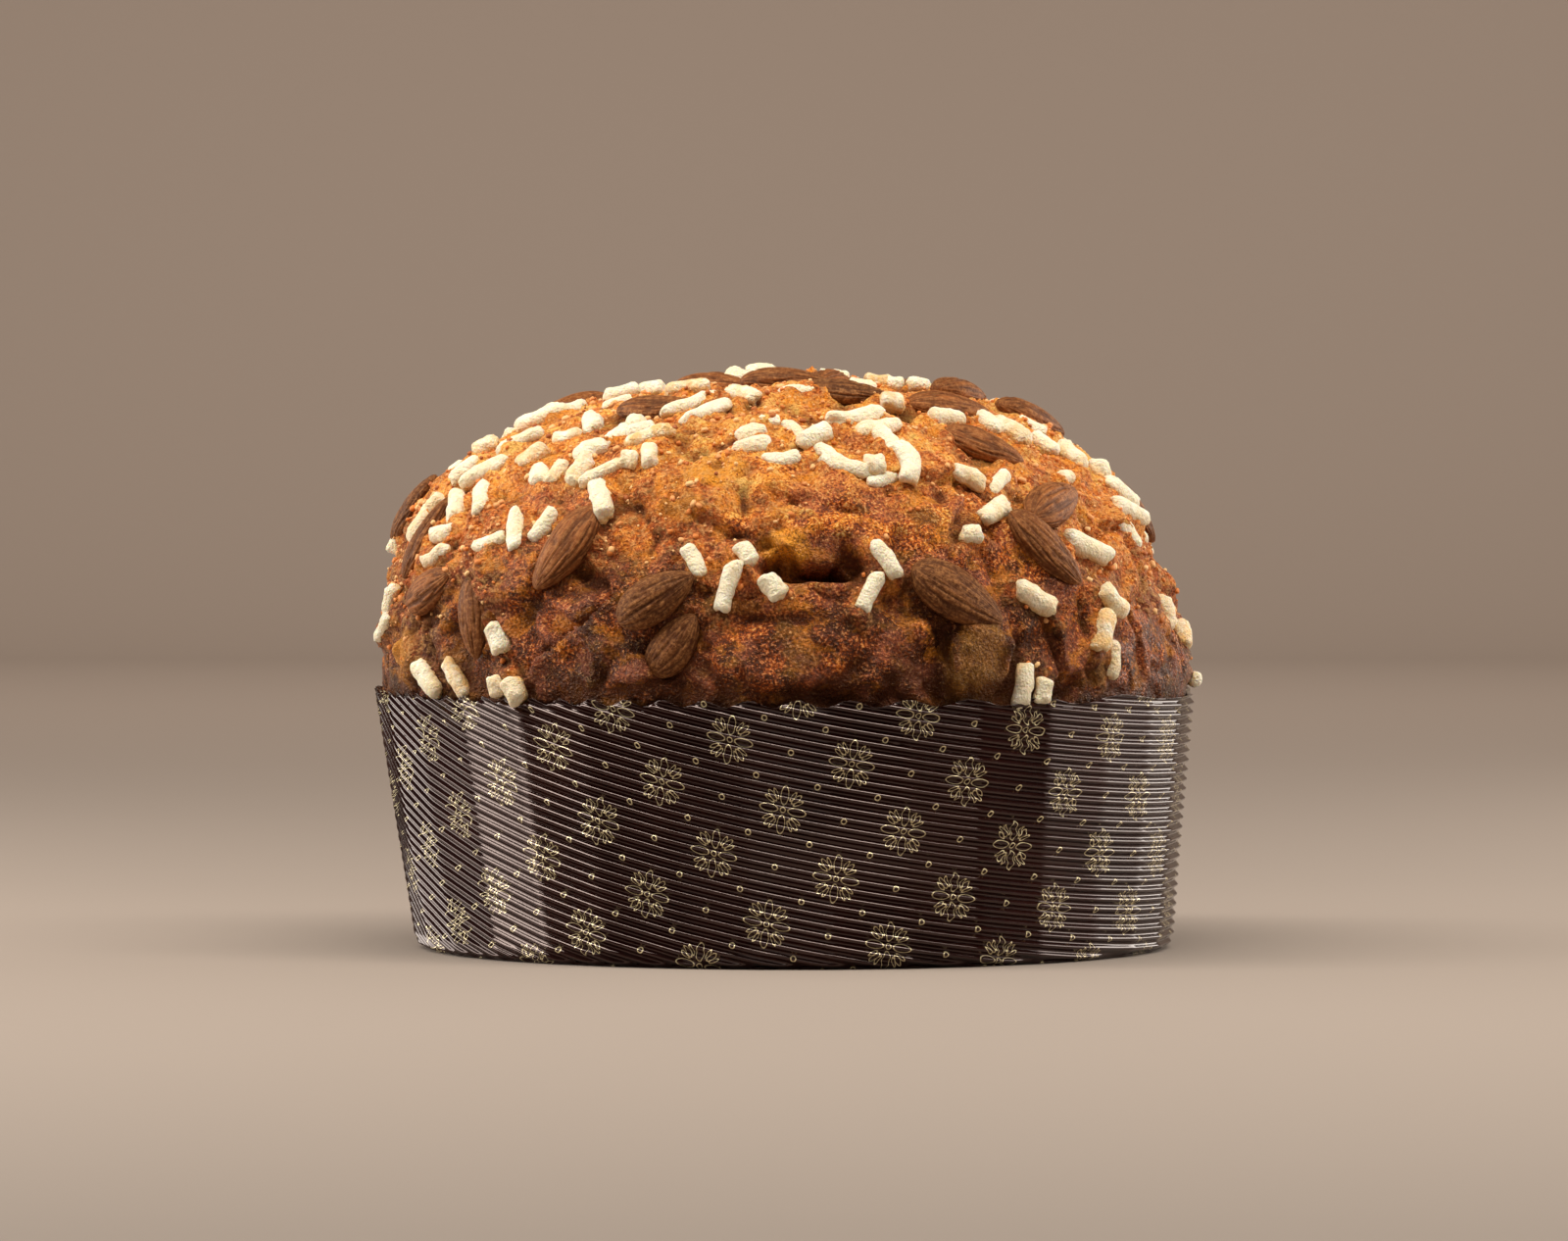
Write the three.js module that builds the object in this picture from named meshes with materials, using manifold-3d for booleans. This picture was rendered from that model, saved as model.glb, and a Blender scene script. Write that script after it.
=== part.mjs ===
// A low dome-shaped panettone in its fluted paper mould, topped with whole almonds and sugar nibs.
// Millimetres, +Z up. The origin is on the table under the middle of the mould's rim, and the
// photographed front faces -Y. An azimuth is 0 at the front and grows towards +X.
import * as THREE from 'three';
import { mergeVertices } from 'three/addons/utils/BufferGeometryUtils.js';
import Module from 'manifold-3d';

const wasm = await Module();
wasm.setup();

// Paper mould
const rimRadius = 112.5;
const rimHeight = 70.8;
const footRadius = 103.7;
const footShift = 2.9;
const footRounding = 4;
const baseThickness = 1.2;
const wallThickness = 1.7;
const ribPitch = 2.6;
const ribDepth = 1;
const ribSlope = 0.184;
const ribSlopeChange = 0.155;
const panelAngle = 12;
const lapAzimuth = -132;
const lapLift = 1.6;
const lapSink = 0.4;
const lapOverlap = 2;
const gap = 0.35;

// Dome of bread above the rim, a superellipse round the vertical axis
const domeRadius = 108.5;
const domeHeight = 73;
const domeFoot = 80;
const domePower = 2.3;
const domeLean = 2.4;
const breadFoot = 60;
const ringSpacing = 11;

// Eye point that the sight positions below are seen from
const eyeDistance = 2480;
const eyeHeight = 155;

// Almonds on the front: where the eye sees each against the plane through the axis (across, up),
// then its turn in the crust (degrees, falling to the right), length, width and how far it is sunk
const frontAlmonds = [
  [-97, 111, -82, 25, 9, 0.35],
  [-95, 97, -25, 24, 11, 0.35],
  [-84, 90, 88, 23, 11, 0.45],
  [-60, 108, -62, 27, 13, 0.3],
  [-34, 94, -32, 24, 11.5, 0.3],
  [-31, 80, 20, 22, 11, 0.7],
  [-34, 146, -6, 26, 11, 0.35],
  [-20, 153, -20, 25, 12, 0.3],
  [0, 152.5, 4, 24, 12, 0.2],
  [13, 157, 12, 26, 11, 0.2],
  [17, 149, 30, 25, 12, 0.3],
  [45, 147, 24, 27, 13, 0.3],
  [49, 150, 30, 25, 12, 0.3],
  [54, 136, 42, 24, 12, 0.35],
  [67, 142, 50, 26, 12, 0.3],
  [72, 120, -38, 24, 12, 0.25],
  [69, 107, 52, 27, 11, 0.25],
  [46, 95, 33, 28, 13, 0.25],
  [95, 119, 60, 25, 11, 0.3],
];

// Almonds on the side away from the eye: azimuth, angle down from the crown, turn, length, width, sink
const backAlmonds = [
  [164, 21, 25, 26, 12, 0.3],
  [212, 26, -40, 25, 12, 0.35],
  [128, 34, 70, 27, 13, 0.3],
  [176, 42, -15, 24, 12, 0.35],
  [246, 44, 30, 26, 12, 0.3],
  [146, 56, -60, 25, 13, 0.3],
  [210, 58, 15, 27, 12, 0.3],
  [110, 60, 35, 24, 12, 0.35],
  [256, 70, -70, 26, 13, 0.3],
  [176, 74, -35, 26, 13, 0.3],
  [134, 82, 10, 25, 11, 0.45],
  [228, 82, 80, 24, 12, 0.35],
];

// Sugar nibs on the front, seen the same way: across, up, length as seen, turn in the view
const frontNibs = [
  [-89, 119, 9, 88], [-82, 121, 10, 88], [-92, 112, 7, -15], [-94, 106, 8, -35],
  [-79, 109, 9, -20], [-72, 112, 10, 88], [-65, 114, 11, -53], [-107, 93, 12, 105],
  [-106, 87, 10, 125], [-77, 84, 8, 75], [-94, 73, 10, 58], [-88, 73, 11, 60],
  [-76, 71, 6, 80], [-71, 70, 7, 60], [-99, 115, 11, 120], [-103, 106, 7, 118],
  [-86, 128, 10, -38], [-81, 128, 14, -24], [-80, 134, 7, -25], [-71, 136, 13, -22],
  [-66, 143, 15, -20], [-57, 146, 6, 0], [-52, 142, 10, 70], [-59, 138, 7, -8],
  [-68, 132, 9, -40], [-66, 127, 6, 80], [-61, 128, 7, -52], [-52, 133, 9, -22],
  [-55, 128, 9, -55], [-49, 127, 13, -27], [-49, 120, 11, 75], [-45, 148, 10, -10],
  [-36, 151, 7, 0], [-26, 150, 11, -5], [-25, 146, 15, -28], [-20, 144, 14, -28],
  [-11, 148, 10, 25], [-10, 155, 12, 3], [4, 149, 11, -3], [-40, 141, 5, 80],
  [-45, 138, 7, -40], [-38, 139, 8, -20], [-36, 136, 13, -16], [-36, 131, 7, 75],
  [-9, 138, 8, -15], [-8, 134, 11, -8], [-1, 131, 10, -5], [-4, 141, 6, 0],
  [3, 139, 8, 38], [8, 137, 9, -22], [12, 133, 8, 35], [20, 142, 18, -10],
  [25, 139, 11, -8], [29, 146, 7, 5], [21, 151, 7, 20], [14, 154, 9, 5],
  [26, 153, 7, 5], [38, 153, 6, 0], [44, 143, 9, -3], [28, 134, 9, 50],
  [32, 128, 10, 75], [17, 129, 9, 20], [27, 126, 9, -20], [49, 126, 10, 25],
  [58, 126, 9, -40], [56, 117, 9, -30], [58, 146, 6, 90], [55, 141, 8, 50],
  [61, 139, 11, 37], [67, 140, 10, 30], [70, 136, 9, 40], [77, 132, 9, 55],
  [90, 122, 12, 28], [92, 117, 14, 14], [92, 112, 11, 52], [81, 107, 15, 25],
  [67, 94, 12, 30], [86, 93, 9, 48], [84, 85, 11, 105], [87, 78, 10, 95],
  [105, 91, 10, 80], [108, 85, 7, 95], [64, 71, 12, 100], [69, 70, 7, 100],
  [-10, 106, 6, 60], [-3, 97, 7, 55], [27, 104, 11, 55], [23, 96, 11, 117],
  [-24, 104, 9, 62], [-15, 97, 14, 108],
];
const backNibs = 28;
const nibWidth = 4;
const shortestNib = 10;

// Main relief of the crust, seen the same way: across, up, half width, half height, turn, lift
const crustForms = [
  [13, 81, 32, 13, 0, 2.6],
  [52, 76, 10, 14, -8, 3.4],
  [40, 74, 3, 13, 0, -3],
  [62, 77, 3, 12, -10, -2.5],
  [-100, 79, 8, 8, 0, 2.6],
  [-52, 82, 15, 22, 40, 2.2],
  [-44, 88, 3.5, 30, 43, -3.2],
  [-58, 84, 3, 22, 38, -2.4],
  [8, 106, 13, 4, 6, -6],
  [8, 111, 17, 5, 4, 2.6],
  [45, 110, 14, 12, 20, 2.4],
  [76, 70, 6, 5, 0, -4],
  [83, 112, 7, 6, 30, -3.5],
  [-18, 124, 22, 12, 0, 1.8],
  [-20, 72, 24, 8, 0, 1.6],
  [-76, 101, 14, 10, 20, 1.8],
];

const rad = THREE.MathUtils.degToRad;

// Closed skin over rings of points from one end to the other; a ring of one point closes an end.
function skin(rings) {
  const points = rings.flat();
  const faces = [];
  let first = 0;
  for (let k = 0; k + 1 < rings.length; k += 1) {
    const low = rings[k].length;
    const high = rings[k + 1].length;
    const next = first + low;
    const lowSteps = low > 1 ? low : 0;
    const highSteps = high > 1 ? high : 0;
    let i = 0;
    let j = 0;
    while (i < lowSteps || j < highSteps) {
      const a = first + (i % low);
      const b = next + (j % high);
      const stepLow = j >= highSteps || (i < lowSteps && (i + 1) * highSteps <= (j + 1) * lowSteps);
      if (stepLow) {
        i += 1;
        faces.push(a, first + (i % low), b);
      } else {
        j += 1;
        faces.push(a, next + (j % high), b);
      }
    }
    first = next;
  }
  return solid(points, faces);
}

// Manifold solid from points and triangles, turned outwards where the triangles face inwards.
function solid(points, faces) {
  const geometry = new THREE.BufferGeometry().setFromPoints(points);
  geometry.setIndex(faces);
  const merged = mergeVertices(geometry, 1e-5);
  const vertProperties = new Float32Array(merged.getAttribute('position').array);
  const triVerts = new Uint32Array(merged.getIndex().array);
  const built = new wasm.Manifold(new wasm.Mesh({ numProp: 3, vertProperties, triVerts }));
  if (built.volume() > 0) {
    return built;
  }
  const turned = triVerts.slice().reverse();
  return new wasm.Manifold(new wasm.Mesh({ numProp: 3, vertProperties, triVerts: turned }));
}

// The largest piece of a solid, so that no loose scrap of a cut stays with it.
function largestPiece(whole) {
  return whole.decompose().reduce((best, piece) => (piece.volume() > best.volume() ? piece : best));
}

function namedMesh(name, shape, material) {
  const { vertProperties, triVerts } = shape.getMesh();
  const geometry = new THREE.BufferGeometry();
  geometry.setAttribute('position', new THREE.BufferAttribute(new Float32Array(vertProperties), 3));
  geometry.setIndex(Array.from(triVerts));
  geometry.computeVertexNormals();
  const mesh = new THREE.Mesh(geometry, material);
  mesh.name = name;
  return mesh;
}

// Point at an azimuth, radius and height, on circles whose middle shifts towards the foot.
function mouldPoint(azimuth, radius, height) {
  const shift = footShift * (1 - height / rimHeight);
  return new THREE.Vector3(
    shift + radius * Math.sin(rad(azimuth)),
    -radius * Math.cos(rad(azimuth)),
    height,
  );
}

// Outer radius of the paper on the crests of its flutes.
function mouldRadius(height) {
  return footRadius + ((rimRadius - footRadius) * height) / rimHeight;
}

// Height of one flute's line at an azimuth: the sheet is wrapped into a cone, so it bends upwards.
function fluteLine(azimuth) {
  const turn = rad(azimuth);
  return -domeRadius * (ribSlope * turn - (ribSlopeChange * turn * turn) / 2);
}

// A stretch of fluted wall: every half flute is a row of the grid, crest and valley in turn.
function flutedStretch(startAzimuth, panels, inside, liftAt) {
  const halfPitch = ribPitch / 2;
  const reach = Math.ceil((rimHeight + 90) / halfPitch);
  const points = [];
  for (let column = 0; column <= panels; column += 1) {
    const azimuth = startAzimuth + column * panelAngle;
    for (let row = -reach; row <= reach; row += 1) {
      const height = fluteLine(azimuth) + row * halfPitch;
      const flute = row % 2 === 0 ? 0 : ribDepth;
      points.push(mouldPoint(azimuth, mouldRadius(height) - flute + liftAt(column), height));
      points.push(mouldPoint(azimuth, inside, height));
    }
  }
  const rows = 2 * reach + 1;
  const at = (column, row, side) => (column * rows + row) * 2 + side;
  const faces = [];
  const quad = (a, b, c, d) => faces.push(a, b, c, a, c, d);
  for (let column = 0; column < panels; column += 1) {
    for (let row = 0; row + 1 < rows; row += 1) {
      quad(at(column, row, 0), at(column + 1, row, 0), at(column + 1, row + 1, 0), at(column, row + 1, 0));
      quad(at(column, row, 1), at(column, row + 1, 1), at(column + 1, row + 1, 1), at(column + 1, row, 1));
    }
    const top = rows - 1;
    quad(at(column, 0, 0), at(column, 0, 1), at(column + 1, 0, 1), at(column + 1, 0, 0));
    quad(at(column, top, 0), at(column + 1, top, 0), at(column + 1, top, 1), at(column, top, 1));
  }
  for (let row = 0; row + 1 < rows; row += 1) {
    quad(at(0, row, 0), at(0, row + 1, 0), at(0, row + 1, 1), at(0, row, 1));
    quad(at(panels, row, 0), at(panels, row, 1), at(panels, row + 1, 1), at(panels, row + 1, 0));
  }
  return solid(points, faces);
}

// Solid of revolution with the mould's panels, from a profile of radius and height pairs.
function panelled(profile) {
  const panels = 360 / panelAngle;
  const rings = profile.map(([radius, height]) => {
    if (radius === 0) {
      return [mouldPoint(0, 0, height)];
    }
    return Array.from({ length: panels }, (_, k) => mouldPoint(k * panelAngle, radius, height));
  });
  return skin(rings);
}

// The space inside the paper, made smaller all round by a clearance.
function insideProfile(clearance) {
  const floor = baseThickness + clearance;
  const wall = wallThickness + clearance;
  return [
    [0, floor],
    [footRadius - wall - footRounding * 0.8, floor],
    [mouldRadius(floor + footRounding) - wall, floor + footRounding],
    [mouldRadius(rimHeight) - wall, rimHeight],
  ];
}

function paperMould() {
  const panels = 360 / panelAngle;
  const inside = footRadius - 12;
  const wall = flutedStretch(lapAzimuth, panels - 1, inside, () => 0);
  const lapStart = lapAzimuth + 360 - panelAngle - lapOverlap;
  const lap = flutedStretch(lapStart, 2, inside - 2, (column) => (column === 0 ? -lapSink : lapLift));
  const wallZone = panelled([
    [0, footRounding],
    [rimRadius + 20, footRounding],
    [rimRadius + 20, rimHeight],
    [0, rimHeight],
  ]);
  const foot = panelled([
    [0, 0],
    [footRadius - footRounding, 0],
    [footRadius - footRounding * 0.3, footRounding * 0.3],
    [mouldRadius(footRounding) - ribDepth / 2, footRounding],
    [0, footRounding],
  ]);
  const hollow = panelled([
    ...insideProfile(0),
    [mouldRadius(rimHeight + 5) - wallThickness, rimHeight + 5],
    [0, rimHeight + 5],
  ]);
  return largestPiece(wall.add(lap).intersect(wallZone).add(foot).subtract(hollow));
}

// Sideways lean of the dome at a height, largest half way up.
function leanAt(height) {
  const part = THREE.MathUtils.clamp((height - domeFoot) / domeHeight, 0, 1);
  return -domeLean * 4 * part * (1 - part);
}

// Point of the plain dome at an azimuth and an angle down from the crown.
function domePoint(azimuth, down) {
  const across = Math.abs(Math.sin(rad(down))) / domeRadius;
  const along = Math.abs(Math.cos(rad(down))) / domeHeight;
  const reach = (across ** domePower + along ** domePower) ** (-1 / domePower);
  const radius = reach * Math.sin(rad(down));
  const height = domeFoot + reach * Math.cos(rad(down));
  return new THREE.Vector3(
    leanAt(height) + radius * Math.sin(rad(azimuth)),
    -radius * Math.cos(rad(azimuth)),
    height,
  );
}

// Frame on the dome: the point, the ways east and up along it, and the way out of it.
function domeFrame(azimuth, down) {
  const step = 0.5;
  const point = domePoint(azimuth, down);
  const east = domePoint(azimuth + step, down).sub(domePoint(azimuth - step, down)).normalize();
  const up = domePoint(azimuth, down - step).sub(domePoint(azimuth, down + step)).normalize();
  const out = new THREE.Vector3().crossVectors(east, up).normalize();
  return { point, east, up, out };
}

// How far a point is outside the plain dome, as a share of its size.
function outsideDome(point) {
  const radius = Math.hypot(point.x - leanAt(point.z), point.y) / domeRadius;
  const height = Math.abs(point.z - domeFoot) / domeHeight;
  return radius ** domePower + height ** domePower - 1;
}

// Azimuth and angle down of the first point that a sight line meets, or passes closest to.
function sighted(across, up) {
  const eye = new THREE.Vector3(0, -eyeDistance, eyeHeight);
  const target = new THREE.Vector3(across, 0, up);
  const steps = 480;
  let best = null;
  let least = Infinity;
  for (let k = 0; k <= steps; k += 1) {
    const along = 1 + (-120 + (150 * k) / steps) / eyeDistance;
    const point = eye.clone().lerp(target, along);
    const outside = outsideDome(point);
    if (outside < least) {
      least = outside;
      best = point;
    }
    if (outside <= 0) {
      break;
    }
  }
  const azimuth = THREE.MathUtils.radToDeg(Math.atan2(best.x - leanAt(best.z), -best.y));
  const radius = Math.hypot(best.x - leanAt(best.z), best.y);
  return [azimuth, THREE.MathUtils.radToDeg(Math.atan2(radius, best.z - domeFoot))];
}

const placedForms = crustForms.map(([across, up, halfWidth, halfHeight, turn, lift]) => {
  const [azimuth, down] = sighted(across, up);
  return { frame: domeFrame(azimuth, down), halfWidth, halfHeight, turn: rad(turn), lift };
});

// Height of the crust over the plain dome: slow waves, and the lobes, folds and pockets seen.
function crustLift(point) {
  const azimuth = Math.atan2(point.x, -point.y);
  const waves = Math.sin(3 * azimuth + point.z / 17) + Math.sin(7 * azimuth - point.z / 9);
  return placedForms.reduce((total, form) => {
    const away = point.clone().sub(form.frame.point);
    const east = away.dot(form.frame.east);
    const up = away.dot(form.frame.up);
    const across = (east * Math.cos(form.turn) + up * Math.sin(form.turn)) / form.halfWidth;
    const along = (up * Math.cos(form.turn) - east * Math.sin(form.turn)) / form.halfHeight;
    const depth = away.dot(form.frame.out) / 25;
    const near = Math.max(0, 1 - across * across - along * along - depth * depth);
    return total + form.lift * Math.min(1, 1.6 * near);
  }, 0.7 * waves);
}

function crustPoint(azimuth, down) {
  const { point, out } = domeFrame(azimuth, down);
  return point.addScaledVector(out, crustLift(point));
}

// The loaf: rings of crust from the crown to below the rim, then a plain body in the paper.
function loaf() {
  const rings = [[crustPoint(0, 0.01)]];
  let last = domePoint(0, 0);
  for (let down = 1; domePoint(0, down).z > breadFoot; down += 0.5) {
    const here = domePoint(0, down);
    if (here.distanceTo(last) >= ringSpacing) {
      const around = 2 * Math.PI * Math.hypot(here.x - leanAt(here.z), here.y);
      const count = Math.max(8, Math.round(around / ringSpacing));
      rings.push(Array.from({ length: count }, (_, k) => crustPoint((360 * k) / count, down)));
      last = here;
    }
  }
  const panels = 360 / panelAngle;
  const bodyRing = (height) => Array.from({ length: panels }, (_, k) => mouldPoint(k * panelAngle, domeRadius, height));
  rings.push(bodyRing(breadFoot - 8));
  rings.push(bodyRing(0));
  rings.push([mouldPoint(0, 0, 0)]);
  return skin(rings);
}

// Convex body of rings along an axis: each station is a place along it and a share of its width.
function spindle(frame, turn, length, width, thickness, sink, stations, sides) {
  const along = frame.east.clone().multiplyScalar(Math.cos(rad(turn))).addScaledVector(frame.up, -Math.sin(rad(turn)));
  const beside = new THREE.Vector3().crossVectors(frame.out, along);
  const middle = frame.point.clone().addScaledVector(frame.out, crustLift(frame.point) + thickness * (0.5 - sink));
  return skin(stations.map(([place, share]) => {
    const centre = middle.clone().addScaledVector(along, (place * length) / 2);
    if (share === 0) {
      return [centre];
    }
    return Array.from({ length: sides }, (_, k) => {
      const angle = (2 * Math.PI * (k + 0.5)) / sides;
      return centre.clone()
        .addScaledVector(beside, (Math.cos(angle) * share * width) / 2)
        .addScaledVector(frame.out, (Math.sin(angle) * share * thickness) / 2);
    });
  }));
}

const almondStations = [[-1, 0], [-0.86, 0.56], [-0.4, 0.98], [0.25, 0.94], [0.78, 0.5], [1, 0]];

function almond([azimuth, down, turn, length, width, sink], grown) {
  const thickness = width * 0.68;
  const more = 2 * grown;
  return spindle(
    domeFrame(azimuth, down),
    turn,
    length + more,
    width + more,
    thickness + more,
    (sink * thickness + grown) / (thickness + more),
    almondStations,
    7,
  );
}

const almonds = [
  ...frontAlmonds.map(([across, up, ...rest]) => [...sighted(across, up), ...rest]),
  ...backAlmonds,
];

const nibStations = [[-1, 0], [-0.82, 0.86], [0.82, 0.9], [1, 0]];

// A sugar nib: a short five-sided rod, sunk a little into the crust.
function nib(azimuth, down, turn, length) {
  return spindle(domeFrame(azimuth, down), turn, length, nibWidth, nibWidth, 0.3, nibStations, 5);
}

// Turn and length along the crust of a nib that the eye sees at a turn and a length in the view.
function nibFromView([across, up, seenLength, seenTurn]) {
  const [azimuth, down] = sighted(across, up);
  const frame = domeFrame(azimuth, down);
  const view = new THREE.Vector3(0, 1, 0);
  const seen = new THREE.Vector3(Math.cos(rad(seenTurn)), 0, -Math.sin(rad(seenTurn)));
  const facing = Math.min(frame.out.dot(view), -0.45);
  const along = seen.clone().addScaledVector(view, -seen.dot(frame.out) / facing);
  const turn = THREE.MathUtils.radToDeg(Math.atan2(-along.dot(frame.up), along.dot(frame.east)));
  const length = seenLength * Math.min(1.35, along.length());
  return [azimuth, down, turn, length];
}

// Seeded draws, the same on every run.
let seed = 20261;
function draw(low, high) {
  seed = (seed * 1664525 + 1013904223) % 4294967296;
  return low + ((high - low) * seed) / 4294967296;
}

// Nibs on the side away from the eye, spread evenly: each takes the freest of a few drawn places.
function nibsBehind(taken) {
  const placed = taken.map(([azimuth, down]) => domePoint(azimuth, down));
  const nibs = [];
  for (let k = 0; k < backNibs; k += 1) {
    let best = null;
    let freest = -1;
    for (let tried = 0; tried < 6; tried += 1) {
      const azimuth = draw(84, 276);
      const down = Math.sqrt(draw(0.01, 1)) * 92;
      const point = domePoint(azimuth, down);
      const room = Math.min(...placed.map((other) => other.distanceTo(point)));
      if (room > freest) {
        freest = room;
        best = [azimuth, down];
      }
    }
    placed.push(domePoint(...best));
    nibs.push([...best, draw(-90, 90), draw(8, 13)]);
  }
  return nibs;
}

function bread() {
  const seen = frontNibs.filter(([, , length]) => length >= shortestNib).map(nibFromView);
  const behind = nibsBehind([...seen, ...almonds]);
  const nibs = [...seen, ...behind].map((place) => nib(...place));
  const room = panelled([
    ...insideProfile(gap),
    [mouldRadius(rimHeight) - wallThickness - gap, rimHeight + gap],
    [rimRadius + 20, rimHeight + gap],
    [rimRadius + 20, domeFoot + domeHeight + 20],
    [0, domeFoot + domeHeight + 20],
  ]);
  const hollows = almonds.map((place) => almond(place, gap));
  const topped = wasm.Manifold.union([loaf(), ...nibs]).intersect(room);
  return largestPiece(topped.subtract(wasm.Manifold.union(hollows)));
}

const crustMaterial = new THREE.MeshStandardMaterial({ color: 0xa8622c, roughness: 0.7, metalness: 0 });
const almondMaterial = new THREE.MeshStandardMaterial({ color: 0x7c4526, roughness: 0.65, metalness: 0 });
const paperMaterial = new THREE.MeshStandardMaterial({ color: 0x3a1d17, roughness: 0.4, metalness: 0 });

const panettone = new THREE.Group();
panettone.add(namedMesh('paper_mould', paperMould(), paperMaterial));
panettone.add(namedMesh('bread', bread(), crustMaterial));
almonds.forEach((place, k) => {
  const name = `almond_${String(k + 1).padStart(2, '0')}`;
  panettone.add(namedMesh(name, almond(place, 0), almondMaterial));
});

export default panettone;
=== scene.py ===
import bpy
import numpy as np
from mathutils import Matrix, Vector


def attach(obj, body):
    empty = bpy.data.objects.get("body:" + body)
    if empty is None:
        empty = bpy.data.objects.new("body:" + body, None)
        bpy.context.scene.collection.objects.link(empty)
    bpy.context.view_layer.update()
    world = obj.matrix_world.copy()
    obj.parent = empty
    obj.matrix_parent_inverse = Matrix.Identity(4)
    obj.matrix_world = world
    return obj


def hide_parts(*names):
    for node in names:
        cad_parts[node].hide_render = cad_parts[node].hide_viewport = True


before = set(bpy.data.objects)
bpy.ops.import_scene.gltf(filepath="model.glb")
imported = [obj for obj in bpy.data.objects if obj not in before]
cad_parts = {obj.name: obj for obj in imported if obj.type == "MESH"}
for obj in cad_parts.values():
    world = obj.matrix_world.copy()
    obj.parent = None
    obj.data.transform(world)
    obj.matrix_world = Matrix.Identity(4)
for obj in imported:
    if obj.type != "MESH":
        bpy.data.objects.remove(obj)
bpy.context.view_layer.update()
MILLIMETRE = 0.001

# The view: a long lens a little above the loaf, turned slightly down, with the middle of the
# picture on the upright axis.
EYE = np.array([0.0, -2480.0, 155.0])
AIM_HEIGHT = 88.7
PICTURE_WIDTH_PIXELS = 1600
FOCAL_PIXELS = 9294
SENSOR_WIDTH = 36.0
FARTHEST_SEEN = 30000

camera_data = bpy.data.cameras.new("camera")
camera_data.sensor_width = SENSOR_WIDTH
camera_data.lens = FOCAL_PIXELS / PICTURE_WIDTH_PIXELS * SENSOR_WIDTH
camera_data.clip_end = FARTHEST_SEEN * MILLIMETRE
camera = bpy.data.objects.new("camera", camera_data)
bpy.context.collection.objects.link(camera)
camera.location = Vector(EYE * MILLIMETRE)
camera.rotation_euler = Vector(np.array([0, 0, AIM_HEIGHT]) - EYE).to_track_quat("-Z", "Y").to_euler()
bpy.context.scene.camera = camera


# The light: a wide soft box overhead, which draws a pale line along each flute, one at each side,
# which gives the paper its two pale bands, a weak one in front and one far behind for the backdrop.
LOAF_MIDDLE = (0, 0, 80)
BACKDROP_MIDDLE = (0, 3020, 300)
STUDIO_TINT = (0.9, 0.84, 0.78, 1)
STUDIO_GLOW = 0.07


def soft_box(name, place, size, power, colour, aim=LOAF_MIDDLE):
    """Rectangular area light at a place, turned towards its aim."""
    data = bpy.data.lights.new(name, "AREA")
    data.shape = "RECTANGLE"
    data.size = size[0] * MILLIMETRE
    data.size_y = size[1] * MILLIMETRE
    data.energy = power
    data.color = colour
    light = bpy.data.objects.new(name, data)
    bpy.context.collection.objects.link(light)
    light.location = Vector(place) * MILLIMETRE
    light.rotation_euler = (Vector(aim) - Vector(place)).to_track_quat("-Z", "Y").to_euler()


soft_box("top_light", (-50, -390, 1200), (2600, 320), 30.5, (1.0, 0.95, 0.86))
soft_box("left_light", (-1000, 100, 330), (1300, 460), 10, (1.0, 0.95, 0.88))
soft_box("right_light", (1000, 330, 330), (1300, 460), 9.5, (1.0, 0.94, 0.86))
soft_box("front_fill", (200, -1400, 800), (900, 500), 2, (1.0, 0.93, 0.84))
soft_box("backdrop_light", (0, 1500, 1500), (3200, 400), 34, (1.0, 0.9, 0.8), BACKDROP_MIDDLE)

world = bpy.data.worlds.new("studio")
world.use_nodes = True
background = world.node_tree.nodes["Background"]
background.inputs["Color"].default_value = STUDIO_TINT
background.inputs["Strength"].default_value = STUDIO_GLOW
bpy.context.scene.world = world
bpy.context.scene.view_settings.view_transform = "Standard"


# The table and backdrop: one pale sweep of card, flat under the loaf and curved up far behind it.
SWEEP_HALF_WIDTH = 4000
SWEEP_FRONT = -3500
SWEEP_BEND_START = 2520
SWEEP_BEND_RADIUS = 500
SWEEP_BEND_STEPS = 24
SWEEP_TOP = 3200
CARD_COLOUR = (0.31, 0.25, 0.21, 1)


def grid_faces(rows, columns, wrap=False):
    """Quads of a grid of points numbered row by row; wrap joins the last column to the first."""
    index = np.arange(rows * columns).reshape(rows, columns)
    if wrap:
        index = np.concatenate([index, index[:, :1]], axis=1)
    corners = (index[:-1, :-1], index[:-1, 1:], index[1:, 1:], index[1:, :-1])
    return np.stack(corners, axis=-1).reshape(-1, 4)


def add_piece(name, points, faces, material):
    """Smooth object at the origin from points in millimetres and a list of faces."""
    mesh = bpy.data.meshes.new(name)
    mesh.from_pydata(points.reshape(-1, 3) * MILLIMETRE, [], faces)
    mesh.update()
    mesh.polygons.foreach_set("use_smooth", np.full(len(mesh.polygons), True))
    mesh.materials.append(material)
    piece = bpy.data.objects.new(name, mesh)
    bpy.context.collection.objects.link(piece)
    return piece


def new_material(name, settings):
    """Material whose plain numbers and colours sit on its own Principled shader."""
    material = bpy.data.materials.new(name)
    material.use_nodes = True
    shader = material.node_tree.nodes["Principled BSDF"]
    for socket, value in settings.items():
        shader.inputs[socket].default_value = value
    return material, shader


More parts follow.
